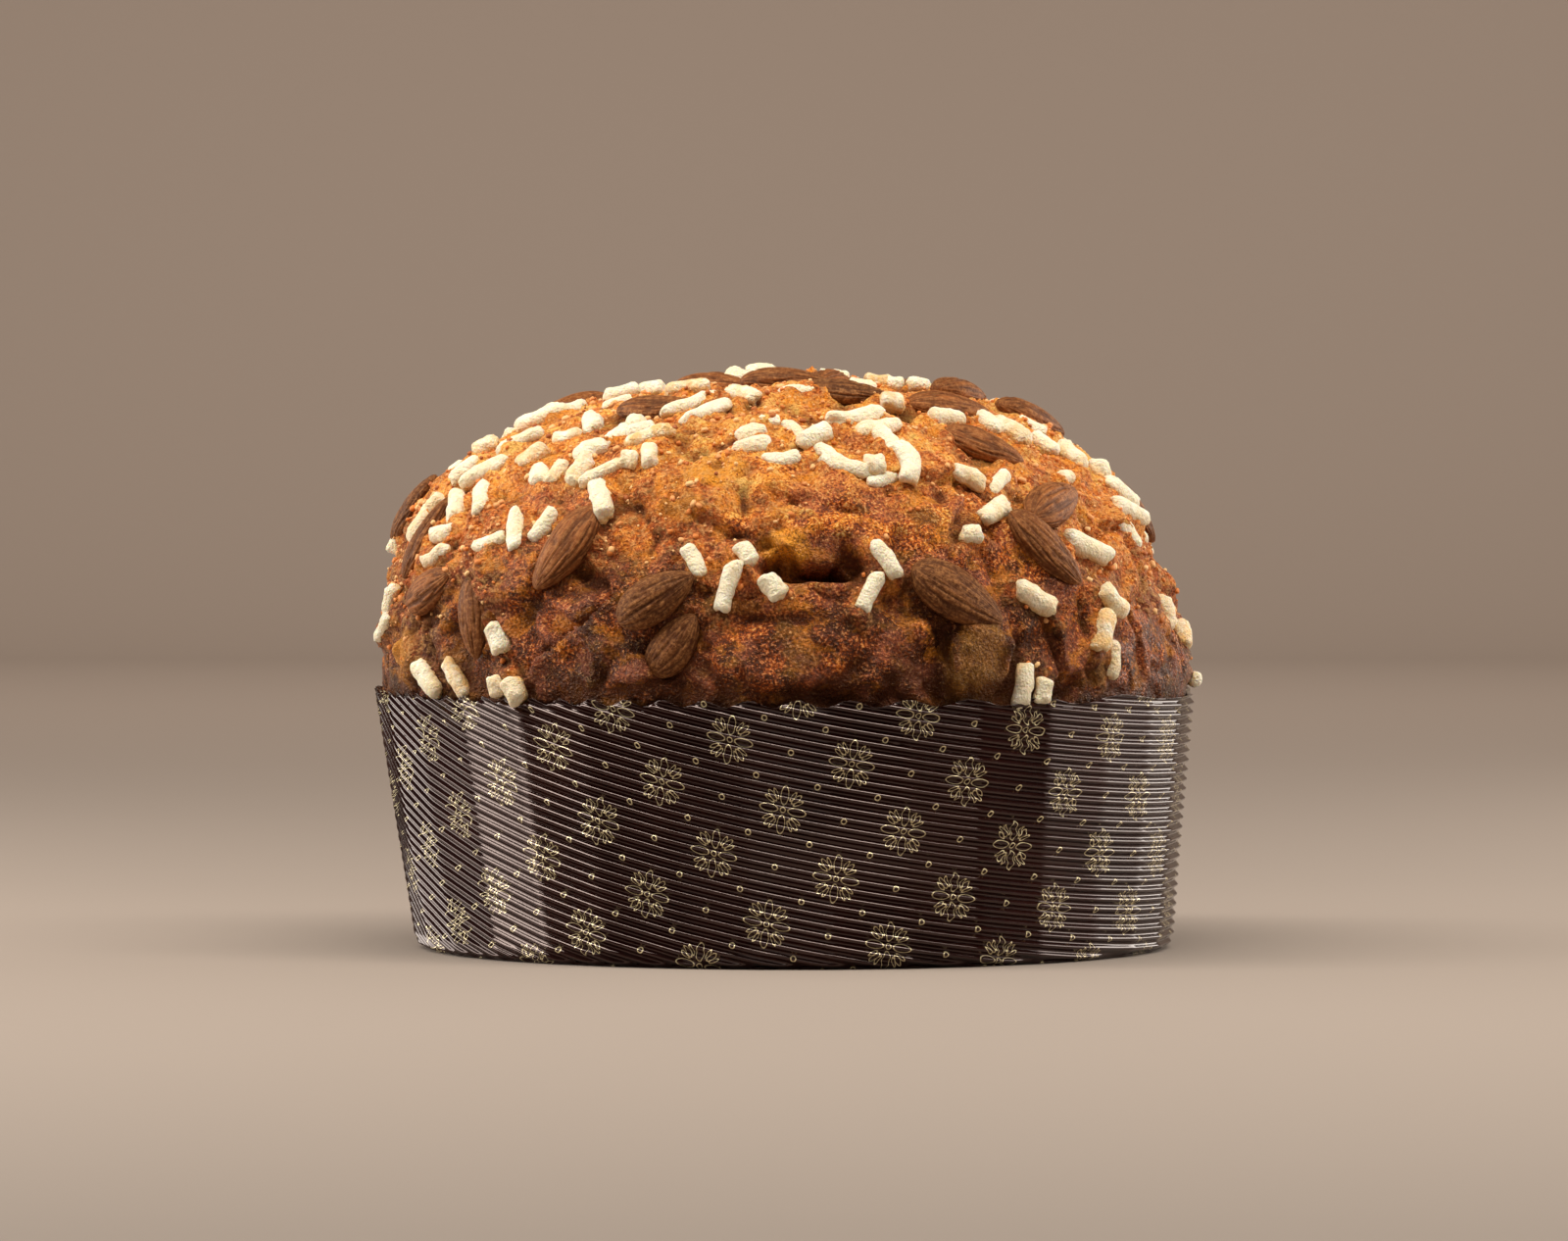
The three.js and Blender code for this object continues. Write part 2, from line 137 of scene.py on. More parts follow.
bend = np.linspace(0, np.pi / 2, SWEEP_BEND_STEPS)
bend_y = SWEEP_BEND_START + SWEEP_BEND_RADIUS * np.sin(bend)
sweep_y = np.concatenate([[SWEEP_FRONT], bend_y, bend_y[-1:]])
sweep_z = np.concatenate([[0], SWEEP_BEND_RADIUS * (1 - np.cos(bend)), [SWEEP_TOP]])
sweep_x = np.array([-SWEEP_HALF_WIDTH, SWEEP_HALF_WIDTH])
sweep_points = np.stack(np.broadcast_arrays(sweep_x, sweep_y[:, None], sweep_z[:, None]), axis=-1)
card, _ = new_material("pale_card", {"Base Color": CARD_COLOUR, "Roughness": 0.85})
add_piece("sweep", sweep_points, grid_faces(len(sweep_y), 2), card)

# The paper mould: a sheet of brown greaseproof paper with fine flutes, wrapped into a shallow cone
# so that the flutes climb round it, lapped at the back and crimped onto a flat paper base. The cut
# rim runs across the flutes, so it is scalloped. A fine gold ornament is printed on the sheet.
RIM_RADIUS = 112.5
RIM_HEIGHT = 70.8
FOOT_RADIUS = 103.7
FOOT_SHIFT = 2.9
FOOT_ROUNDING = 4.0
FOOT_TUCK = 3.2
FLUTES_END = 0.5
PAPER_THICKNESS = 0.5
WALL_THICKNESS = 1.7
BASE_THICKNESS = 1.2
INNER_CORNER = 2.5
FLUTE_PITCH = 2.6
FLUTE_DEPTH = 1.1
FLUTE_STEPS = 8
FLUTE_SLOPE = 0.19
WRAP_RADIUS = 108
WRAP_CHANGE = 0.14
TIP_DISTANCE = WRAP_RADIUS / WRAP_CHANGE
PANELS = 32
LAP_AZIMUTH = -122.0
LAP_LIFT = 1.4
LAP_RAMP = 12.0
DENT_DEPTH = 0.5
DENT_SIZE = 34
DENT_CIRCLE = 100
SCALLOP = 1.9
# Columns round the mould, and rows inside it: close ones just under the rim, where the flutes still
# show, and wider ones from there to the floor.
MOULD_COLUMNS = 416
CLOSE_ROWS = 19
CLOSE_ROWS_HEIGHT = 10
WIDE_ROWS = 9
FLUTES_FADE = (0.08, 0.2)
WELD_STEP = 0.0005


def noise(points, size, seed):
    """Value noise: a random number at each corner of cells of the given size, blended across a
    cell by t * t * (3 - 2 * t) along each axis. It runs from -1 to 1."""
    scaled = points / size + 0.37 * seed
    cell = np.floor(scaled).astype(np.int64)
    part = scaled - cell
    part = part * part * (3 - 2 * part)
    total = np.zeros(points.shape[:-1])
    for corner in np.ndindex(2, 2, 2):
        weight = np.prod(np.where(corner, part, 1 - part), axis=-1)
        total += weight * scatter(cell + corner, seed)
    return 2 * total - 1


def scatter(cell, seed):
    """Random number from 0 to 1 for each whole-number cell, by multiplying and mixing its bits."""
    mixed = cell[..., 0] * 73856093 ^ cell[..., 1] * 19349663
    mixed = mixed ^ cell[..., 2] * 83492791 ^ seed * 2654435
    mixed = (mixed ^ (mixed >> 13)) * 1274126177 & 0xFFFFFFFF
    mixed = (mixed ^ (mixed >> 16)) * 668265263 & 0xFFFFFFFF
    return ((mixed ^ (mixed >> 15)) & 0xFFFFFF) / 0xFFFFFF


def smooth_step(value, low, high):
    """0 below low and 1 above high, with the soft curve t * t * (3 - 2 * t) between."""
    part = np.clip((value - low) / (high - low), 0, 1)
    return part * part * (3 - 2 * part)


def sheet_turn(azimuth):
    """Turn on the flat sheet of the ray from the cone's tip that passes an azimuth."""
    return WRAP_CHANGE * np.radians(azimuth) - FLUTE_SLOPE


def sheet_place(azimuth, height):
    """Where a point of the wall lies on the flat sheet, in millimetres along and across its flutes:
    the cone unrolls to rays from its tip, so along = reach * sin(turn), across = reach * cos(turn)."""
    reach = TIP_DISTANCE + height
    turn = sheet_turn(azimuth)
    return reach * np.sin(turn), reach * np.cos(turn) - TIP_DISTANCE * np.cos(FLUTE_SLOPE)


def mould_radius(height):
    """Outer radius of the paper on the crests of its flutes, a straight cone from foot to rim."""
    return FOOT_RADIUS + (RIM_RADIUS - FOOT_RADIUS) * height / RIM_HEIGHT


def panel_shape(azimuth):
    """Share of the radius kept by the flat panels: cos(half) / cos(turn from the panel's middle)."""
    width = 360 / PANELS
    turn = np.mod(azimuth + width / 2, width) - width / 2
    return np.cos(np.radians(width / 2)) / np.cos(np.radians(turn))


def flute_offset(across):
    """Depth under the crests: a cosine wave across the flutes."""
    return FLUTE_DEPTH * (np.cos(2 * np.pi * across / FLUTE_PITCH) - 1) / 2


def ring_place(azimuth, radius, height, middle=0):
    """Point at an azimuth and height on a circle whose middle lies some way to the right."""
    angle = np.radians(azimuth)
    place = [middle + radius * np.sin(angle), -radius * np.cos(angle), height + 0 * angle]
    return np.stack(place, axis=-1)


def mould_place(azimuth, height, radius):
    """Point of the mould, on circles whose middle shifts sideways towards the foot."""
    return ring_place(azimuth, radius, height, FOOT_SHIFT * (1 - height / RIM_HEIGHT))


def wall_radius(azimuth, height, inwards):
    """Radius of the fluted wall, with its panels, its lap and slow dents from handling."""
    _, across = sheet_place(azimuth, height)
    lap_end = LAP_AZIMUTH + 360
    lap = LAP_LIFT * smooth_step(azimuth, lap_end - 2 * LAP_RAMP, lap_end - LAP_RAMP)
    angle = np.radians(azimuth)
    around = [np.sin(angle) * DENT_CIRCLE, np.cos(angle) * DENT_CIRCLE, height + 0 * angle]
    around = np.stack(around, axis=-1)
    dents = DENT_DEPTH * noise(around, DENT_SIZE, 3) * smooth_step(height, 0, 25)
    dents = dents - np.interp(height, [0, 1.2, FOOT_ROUNDING], [FOOT_TUCK, 0.8, 0])
    plain = mould_radius(height) * panel_shape(azimuth)
    return plain + flute_offset(across) + lap + dents - DENT_DEPTH - inwards


def panel_rings(profile):
    """One ring of panels round the mould for each radius and height."""
    shape = panel_shape(mould_azimuth)
    return np.stack([mould_place(mould_azimuth, height, radius * shape) for radius, height in profile])


mould_azimuth = LAP_AZIMUTH + np.linspace(0, 360, MOULD_COLUMNS)
_, across_rim = sheet_place(mould_azimuth, RIM_HEIGHT)
_, across_foot = sheet_place(mould_azimuth, 0)
rim_line = RIM_HEIGHT - SCALLOP * (1 - np.cos(2 * np.pi * across_rim / FLUTE_PITCH)) / 2
step = FLUTE_PITCH / FLUTE_STEPS
first_row, last_row = np.floor(across_foot.min() / step), np.ceil(across_rim.max() / step)
row_across = np.arange(first_row, last_row + 1)[:, None] * step
row_reach = (row_across + TIP_DISTANCE * np.cos(FLUTE_SLOPE)) / np.cos(sheet_turn(mould_azimuth))
row_height = np.clip(row_reach - TIP_DISTANCE, FLUTES_END, rim_line)
azimuth_grid = np.broadcast_to(mould_azimuth, row_height.shape)
outer_rows = mould_place(azimuth_grid, row_height, wall_radius(azimuth_grid, row_height, 0))

foot_profile = [(0.0, 0.0), (FOOT_RADIUS - FOOT_ROUNDING, 0.0), (FOOT_RADIUS - FOOT_TUCK, 0.2)]
foot_rows = panel_rings(foot_profile)
close_share = np.linspace(0, CLOSE_ROWS_HEIGHT, CLOSE_ROWS) / RIM_HEIGHT
inner_share = np.concatenate([close_share, np.linspace(0.2, 1, WIDE_ROWS)])
inner_height = rim_line - inner_share[:, None] * (rim_line - BASE_THICKNESS - INNER_CORNER)
inner_azimuth = np.broadcast_to(mould_azimuth, inner_height.shape)
deep = smooth_step(inner_share, *FLUTES_FADE)[:, None]
fluted_inside = wall_radius(inner_azimuth, inner_height, PAPER_THICKNESS)
plain_inside = mould_radius(inner_height) * panel_shape(inner_azimuth) - WALL_THICKNESS
inner_radius = (1 - deep) * fluted_inside + deep * plain_inside
inner_rows = mould_place(inner_azimuth, inner_height, inner_radius)
floor_radius = FOOT_RADIUS - WALL_THICKNESS - FOOT_TUCK
floor_rows = panel_rings([(floor_radius, BASE_THICKNESS), (0.0, BASE_THICKNESS)])
mould_points = np.concatenate([foot_rows, outer_rows, inner_rows, floor_rows])


def weld(points, faces):
    """Joins points that share a place, and cuts the quads into triangles, without those that this
    closes up. Gives the number of the first point at each place too."""
    flat = points.reshape(-1, 3)
    cells = np.round(flat / WELD_STEP).astype(np.int64)
    _, first, same = np.unique(cells, axis=0, return_index=True, return_inverse=True)
    joined = same.reshape(-1)[faces]
    triangles = np.concatenate([joined[:, [0, 1, 2]], joined[:, [0, 2, 3]]])
    whole = (triangles != np.roll(triangles, 1, axis=1)).all(axis=1)
    return flat[first], triangles[whole], first


mould_rows = len(mould_points)
mould_faces = grid_faces(mould_rows, MOULD_COLUMNS, wrap=True)
welded_points, welded_faces, welded_first = weld(mould_points, mould_faces)


class Wire:
    """One output socket of a material's nodes. Python maths on wires adds Math nodes."""

    def __init__(self, tree, socket=None):
        self.tree = tree
        self.socket = socket

    def node(self, kind, settings, values, out=0):
        """Adds a node, sets its settings first, then the values or links of its sockets."""
        made = self.tree.nodes.new(kind)
        stops = settings.get("stops", [])
        for name, value in settings.items():
            if name != "stops":
                setattr(made, name, value)
        for extra in stops[2:]:
            made.color_ramp.elements.new(extra[0])
        for element, (place, colour) in zip(made.color_ramp.elements if stops else [], stops):
            element.position = place
            element.color = (*colour, 1)
        for name, value in values.items():
            if isinstance(value, Wire):
                self.tree.links.new(value.socket, made.inputs[name])
            else:
                made.inputs[name].default_value = value
        return Wire(self.tree, made.outputs[out])

    def maths(self, operation, *values, clamp=False):
        settings = {"operation": operation, "use_clamp": clamp}
        return self.node("ShaderNodeMath", settings, dict(enumerate(values)))

    def __add__(self, other):
        return self.maths("ADD", self, other)

    __radd__ = __add__

    def __sub__(self, other):
        return self.maths("SUBTRACT", self, other)

    def __rsub__(self, other):
        return self.maths("SUBTRACT", other, self)

    def __mul__(self, other):
        return self.maths("MULTIPLY", self, other)

    __rmul__ = __mul__

    def __truediv__(self, other):
        return self.maths("DIVIDE", self, other)

    def __abs__(self):
        return self.maths("ABSOLUTE", self)

    def larger(self, other):
        return self.maths("MAXIMUM", self, other)

    def smaller(self, other):
        return self.maths("MINIMUM", self, other)

    def clamped(self):
        return self.maths("ADD", self, 0.0, clamp=True)

    def between(self, low, high):
        """0 at low and 1 at high, clamped."""
        return self.maths("DIVIDE", self - low, high - low, clamp=True)

    def mix(self, first, second):
        """Colour that goes from first to second as this wire goes from 0 to 1."""
        return self.node("ShaderNodeMix", {"data_type": "RGBA"}, {0: self, 6: first, 7: second}, out=2)

    def into(self, shader, socket):
        self.tree.links.new(self.socket, shader.inputs[socket])

    def bump(self, shader, strength, distance):
        """Roughens the surface by this wire, over a distance in millimetres."""
        values = {"Height": self, "Strength": strength, "Distance": distance * MILLIMETRE}
        self.node("ShaderNodeBump", {}, values).into(shader, "Normal")

    def attribute(self, name):
        return self.node("ShaderNodeAttribute", {"attribute_name": name}, {}, out="Fac")

    def noise(self, size, detail=3.0, stretch=(1, 1, 1), roughness=0.55):
        """Noise from 0 to 1 on Object coordinates, its blobs about size millimetres across."""
        coordinates = self.node("ShaderNodeTexCoord", {}, {}, out="Object")
        placed = self.node("ShaderNodeMapping", {}, {"Vector": coordinates, "Scale": stretch})
        scale = 1 / (size * MILLIMETRE)
        values = {"Vector": placed, "Scale": scale, "Detail": detail, "Roughness": roughness}
        return self.node("ShaderNodeTexNoise", {}, values)


# The print, in millimetres on the sheet: its shift, the spacing of its rosettes and the radius of
# its rings. Each kind of petal is an oval outline: turn, reach, half length and half width.
PRINT_SHIFT = (15.8, 10.5)
ALONG_SPACING = 17.1
ACROSS_SPACING = 15.3
RING_RADIUS = 0.7
PETAL = (0, 3.9, 2.5, 1.05)
LEAF = (45, 4.7, 1.7, 0.6)
STROKE = (31, 4.6, 1.4, 0.42)
LINE_SOFTNESS = 0.09
GOLD = (0.82, 0.71, 0.43, 1)
DARK_PAPER = (0.009, 0.0014, 0.0010, 1)
LIGHT_PAPER = (0.019, 0.0038, 0.0025, 1)


def mould_paper():
    """Dark brown paper with a soft sheen, printed in gold with small rosettes and rings."""
    sheen = {"Roughness": 0.09, "Specular IOR Level": 0.66, "Specular Tint": (1.0, 0.79, 0.75, 1)}
    material, shader = new_material("mould_paper", sheen)
    start = Wire(material.node_tree)
    sheet = start.node("ShaderNodeUVMap", {"uv_map": "sheet"}, {})
    along = start.node("ShaderNodeSeparateXYZ", {}, {0: sheet}, out="X") - PRINT_SHIFT[0]
    across = start.node("ShaderNodeSeparateXYZ", {}, {0: sheet}, out="Y") - PRINT_SHIFT[1]
    first = along / (2 * ALONG_SPACING) + across / (2 * ACROSS_SPACING)
    second = along / (2 * ALONG_SPACING) - across / (2 * ACROSS_SPACING)

    def from_nearest(part):
        """Way along and across the sheet from the nearest point of a diagonal lattice, which a part
        of 1/2 makes twice as fine."""
        right, left = first / part, second / part
        right = right - start.maths("ROUND", right)
        left = left - start.maths("ROUND", left)
        return (right + left) * (ALONG_SPACING * part), (right - left) * (ACROSS_SPACING * part)

    def distance(left, right):
        """Square root of left * left + right * right."""
        return start.maths("SQRT", left * left + right * right)

    def line(away, half_width):
        """1 on a printed line where away is near 0, softly down to 0 beside it."""
        return start.maths("DIVIDE", half_width - abs(away), LINE_SOFTNESS, clamp=True)

    aside, above = map(abs, from_nearest(1))
    major, minor = aside.larger(above), aside.smaller(above)

    def oval(turn, reach, half_length, half_width):
        """Below 0 inside an oval some way out from the rosette's middle. Major and minor fold the
        sheet there in eight, so it repeats all round."""
        turn_cos, turn_sin = np.cos(np.radians(turn)), np.sin(np.radians(turn))
        lengthways = major * turn_cos + minor * turn_sin - reach
        sideways = minor * turn_cos - major * turn_sin
        return distance(lengthways / half_length, sideways / half_width) - 1

    leaves = line(oval(*LEAF), 0.15).larger(line(oval(*STROKE), 0.2))
    middle = line(distance(aside, above) - RING_RADIUS, 0.16)
    rosette = line(oval(*PETAL), 0.11).larger(leaves.larger(middle))
    ring = line(distance(*from_nearest(1 / 2)) - RING_RADIUS, 0.2)
    print_mask = rosette.larger(ring * (aside + above).between(8.0, 9.0))
    worn = start.noise(1.6, detail=2.0).between(0.3, 0.5)
    gold = print_mask * (0.6 + 0.4 * worn)
    brown = start.noise(26.0, detail=2.0).between(0.3, 0.7).mix(DARK_PAPER, LIGHT_PAPER)
    gold.mix(brown, GOLD).into(shader, "Base Color")
    (gold * 0.25).into(shader, "Metallic")
    start.noise(0.5, detail=2.0).bump(shader, 0.12, 0.1)
    return material


def add_uv(piece, name, places):
    """Two numbers for each point of a piece, kept as a UV map at every corner of its faces."""
    corner = np.empty(len(piece.data.loops), dtype=np.int64)
    piece.data.loops.foreach_get("vertex_index", corner)
    layer = piece.data.uv_layers.new(name=name)
    layer.data.foreach_set("uv", places[corner].astype(np.float32).reshape(-1))


mould = add_piece("fluted_mould", welded_points, welded_faces.tolist(), mould_paper())
welded_azimuth = np.broadcast_to(mould_azimuth, (mould_rows, MOULD_COLUMNS)).reshape(-1)[welded_first]
add_uv(mould, "sheet", np.stack(sheet_place(welded_azimuth, welded_points[:, 2]), axis=-1))
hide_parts("paper_mould")
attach(mould, "root")

# The loaf: soft enriched dough risen into a dome over the rim, under a sugary glaze that baked to a
# rough golden crumble on top and a smooth dark skin low down. It reaches the floor of the mould.
DOME_RADIUS = 108.5
DOME_HEIGHT = 73.0
DOME_FOOT = 80.0
DOME_POWER = 2.3
DOME_LEAN = 2.4
CRUST_GRID = 300
CRUST_LOWEST = 62.0
AREA_STEPS = 700
FORM_DEPTH = 25
WAVE_HEIGHT = 0.7
WALL_GAP = 0.7
# Heights over and under the rim between which the crust is tucked in behind it.
TUCK_ABOVE, TUCK_BELOW = 5.5, 0.5
# Above this height, give or take, crumbled glaze covers the crust, and further down at the sides.
GLAZE_LINE = 116
GLAZE_FADE = 26
GLAZE_MIDDLE = 6
GLAZED_SIDES = (60, 96)
# How brown the crust is, from the rim up: the darkest, the range, and the heights it goes between.
DARKEST_BAKE = 0.99
BAKE_RANGE = 0.74
BAKE_HEIGHTS = (68, 146)
PALER_SIDES = 0.13
# Heights between which the crust darkens towards the paper: painted shadow of the paper's rim,
# together with a darker bake there.
SHADED_BURNT_RIM = (81, 72)
HIDDEN_BAKE = 0.9
# Radius and height of the loaf inside the mould, from the end of the crust down.
BODY_PROFILE = [(106.0, 50.0), (104.2, 26.0), (102.4, 7.0), (98.0, 2.0)]
# Where sight lines are followed from, how far and in how many steps.
SIGHT_START = -120
SIGHT_LENGTH = 150
SIGHT_STEPS = 480

# Lobes, pockets and recesses: where the eye sees each against the plane through the axis (across,
# up), then its half width, half height, turn and lift.
CRUST_FORMS = [
    (13, 81, 32, 13, 0, 2.6),
    (52, 76, 10, 14, -8, 3.4),
    (40, 74, 3, 13, 0, -2.4),
    (62, 77, 3, 12, -10, -2.2),
    (-100, 79, 8, 8, 0, 2.6),
    (-52, 82, 15, 22, 40, 2.2),
    (-44, 88, 3.5, 30, 43, -2.6),
    (-58, 84, 3, 22, 38, -1.8),
    (6, 104.5, 12, 6, -6, -10),
    (17, 105.5, 6, 4.5, 20, -5),
    (-6, 107.5, 5, 4, -30, -4),
    (2, 115, 8, 4, -8, 2.2),
    (17, 113.5, 7, 4, 18, 1.8),
    (28, 101, 5, 4, 0, 1.6),
    (45, 110, 14, 12, 20, 2.4),
    (76, 70, 6, 5, 0, -4),
    (83, 112, 7, 6, 30, -3.5),
    (-18, 124, 22, 12, 0, 1.8),
    (-20, 72, 24, 8, 0, 1.6),
    (-76, 101, 14, 10, 20, 1.8),
    (-105.5, 107, 28, 22, 0, -3.0),
    (106.5, 91, 22, 14, 0, -2.4),
    (103, 110, 22, 14, 0, -2.0),
]

# Patches of colour, placed as the forms are: amber where the last number is above 0, olive below.
CRUST_STAINS = [
    (-18, 128, 10, 7, 20, 1.0),
    (-1, 107, 8, 5, -20, 1.2),
    (-100, 79, 9, 9, 0, 0.7),
    (47, 112, 10, 8, 0, -0.4),
    (52, 76, 11, 14, -8, -1.0),
    (-98, 92, 6, 6, 0, -0.5),
    (38, 117, 5, 5, 0, -0.8),
    (-29, 118, 6, 5, 0, -0.6),
]

# Folds of the skin, each from one seen place to another: the crust stands up on the left of the
# way it runs and leans over a crease. Width and step follow.
CRUST_FOLDS = [
    (-42, 97, -70, 72, 7, 3.4),
    (-81, 101, -70, 73, 5, 1.8),
    (-62, 100, -78, 74, 5, 1.4),
    (44, 87, 45, 70, 4, 2.0),
    (60, 84, 61, 70, 4, -2.0),
    (-27, 107, -46, 84, 6, 2.4),
    (-10, 79, -9, 70, 4, 1.2),
    (-22, 88, -16, 70, 5, 0.9),
    (-47, 70, -30, 76, 5, 1.5),
    (24, 127, 46, 127, 7, 1.8),
    (84, 115, 97, 108, 5, 1.8),
    (46, 126, 44, 100, 5, -1.4),
    (68, 92, 76, 72, 4, 1.8),
    (78, 98, 84, 72, 5, 1.5),
    (92, 96, 98, 74, 5, 1.4),
    (-5, 125, 22, 119, 6, 1.3),
    (-98, 92, -90, 72, 4, -1.5),
    (-30, 118, -8, 112, 5, 1.2),
]
BACK_FOLDS = 16
BACK_FOLDS_FROM = 84
BACK_FOLDS_SPAN = 192
FOLD_STRENGTH = 1.05
FOLD_LEAN = 0.75


def dome_lean(height):
    """Sideways shift of the dome's middle at a height, 4 * part * (1 - part) of the full lean."""
    part = np.clip((height - DOME_FOOT) / DOME_HEIGHT, 0, 1)
    return -DOME_LEAN * 4 * part * (1 - part)


def dome_place(azimuth, down):
    """The plain dome: |radius / 108.5|^2.3 + |height / 73|^2.3 = 1 round the upright axis, leaning
    a little to the left half way up. down is the angle from the crown; both are in degrees."""
    outwards, upwards = np.sin(np.radians(down)), np.cos(np.radians(down))
    share = (np.abs(outwards) / DOME_RADIUS) ** DOME_POWER
    share = share + (np.abs(upwards) / DOME_HEIGHT) ** DOME_POWER
    reach = share ** (-1 / DOME_POWER)
    height = DOME_FOOT + reach * upwards
    return ring_place(azimuth, reach * outwards, height, dome_lean(height))


def unit(vectors):
    """Vectors of length one."""
    return vectors / np.linalg.norm(vectors, axis=-1, keepdims=True)


def dome_frame(azimuth, down):
    """Points of the plain dome with their ways east, up and out, from small steps along it."""
    east = unit(dome_place(azimuth + 0.5, down) - dome_place(azimuth - 0.5, down))
    up = unit(dome_place(azimuth, down - 0.5) - dome_place(azimuth, down + 0.5))
    return dome_place(azimuth, down), east, up, unit(np.cross(east, up))


def sighted(across, up):
    """Azimuth and angle down of the first point of the plain dome that a sight line meets, or else
    passes closest to, for lists of places across and up in the plane through the axis."""
    across = np.asarray(across, dtype=float)
    up = np.asarray(up, dtype=float)
    target = np.stack([across, 0 * across, up], axis=-1)
    depth = SIGHT_START + SIGHT_LENGTH * np.arange(SIGHT_STEPS + 1) / SIGHT_STEPS
    share = 1 + depth / -EYE[1]
    points = EYE + share[:, None, None] * (target - EYE)
    side = points[..., 0] - dome_lean(points[..., 2])
    radius = np.hypot(side, points[..., 1])
    height = points[..., 2] - DOME_FOOT
    outside = (radius / DOME_RADIUS) ** DOME_POWER + (np.abs(height) / DOME_HEIGHT) ** DOME_POWER - 1
    met = outside <= 0
    chosen = np.where(met.any(axis=0), met.argmax(axis=0), outside.argmin(axis=0))
    pick = (chosen, np.arange(len(chosen)))
    azimuth = np.degrees(np.arctan2(side[pick], -points[..., 1][pick]))
    return azimuth, np.degrees(np.arctan2(radius[pick], height[pick]))


draw_seed = 20261


def draw(low, high):
    """Next seeded number between low and high, by seed = seed * 1664525 + 1013904223."""
    global draw_seed
    draw_seed = (draw_seed * 1664525 + 1013904223) % 2 ** 32
    return low + (high - low) * draw_seed / 2 ** 32


# The toppings' places, settled before the crust, which rises round each. Almonds seen from the front
# are given by across, up, turn falling to the right, length, width and the share sunk; those on the
# far side by azimuth, angle down and the rest. A blunt end points against the turn.
FRONT_ALMONDS = [
    (-97, 111, -82, 25, 9, 0.35),
    (-95, 97, -25, 22, 11, 0.35),
    (-83, 90, 88, 23, 11, 0.4),
    (-59, 108, 118, 27, 13, 0.25),
    (-34, 94, -32, 24, 12.5, 0.25),
    (-30, 82, -50, 21, 12, 0.45),
    (-34, 146, -6, 26, 11, 0.35),
    (-20, 152, -20, 25, 12, 0.45),
    (0, 151.5, 4, 24, 12, 0.35),
    (13, 156, 12, 26, 11, 0.35),
    (17, 149, 30, 25, 12, 0.3),
    (45, 145, 24, 27, 13, 0.3),
    (49, 150, 30, 25, 12, 0.3),
    (54, 136, 42, 24, 12, 0.35),
    (67, 142, 50, 26, 12, 0.3),
    (72, 119, -20, 27, 12, 0.2),
    (69, 107, 52, 27, 11.5, 0.2),
    (46, 95, 33, 28, 13.5, 0.2),
    (95, 119, 60, 25, 11, 0.3),
]
BACK_ALMONDS = [
    (164, 21, 25, 26, 12, 0.3),
    (212, 26, -40, 25, 12, 0.35),
    (128, 34, 70, 27, 13, 0.3),
    (176, 42, -15, 24, 12, 0.35),
    (246, 44, 30, 26, 12, 0.3),
    (146, 56, -60, 25, 13, 0.3),
    (210, 58, 15, 27, 12, 0.3),
    (110, 60, 35, 24, 12, 0.35),
    (256, 70, -70, 26, 13, 0.3),
    (176, 74, -35, 26, 13, 0.3),
    (134, 82, 10, 25, 11, 0.45),
    (228, 82, 80, 24, 12, 0.35),
]

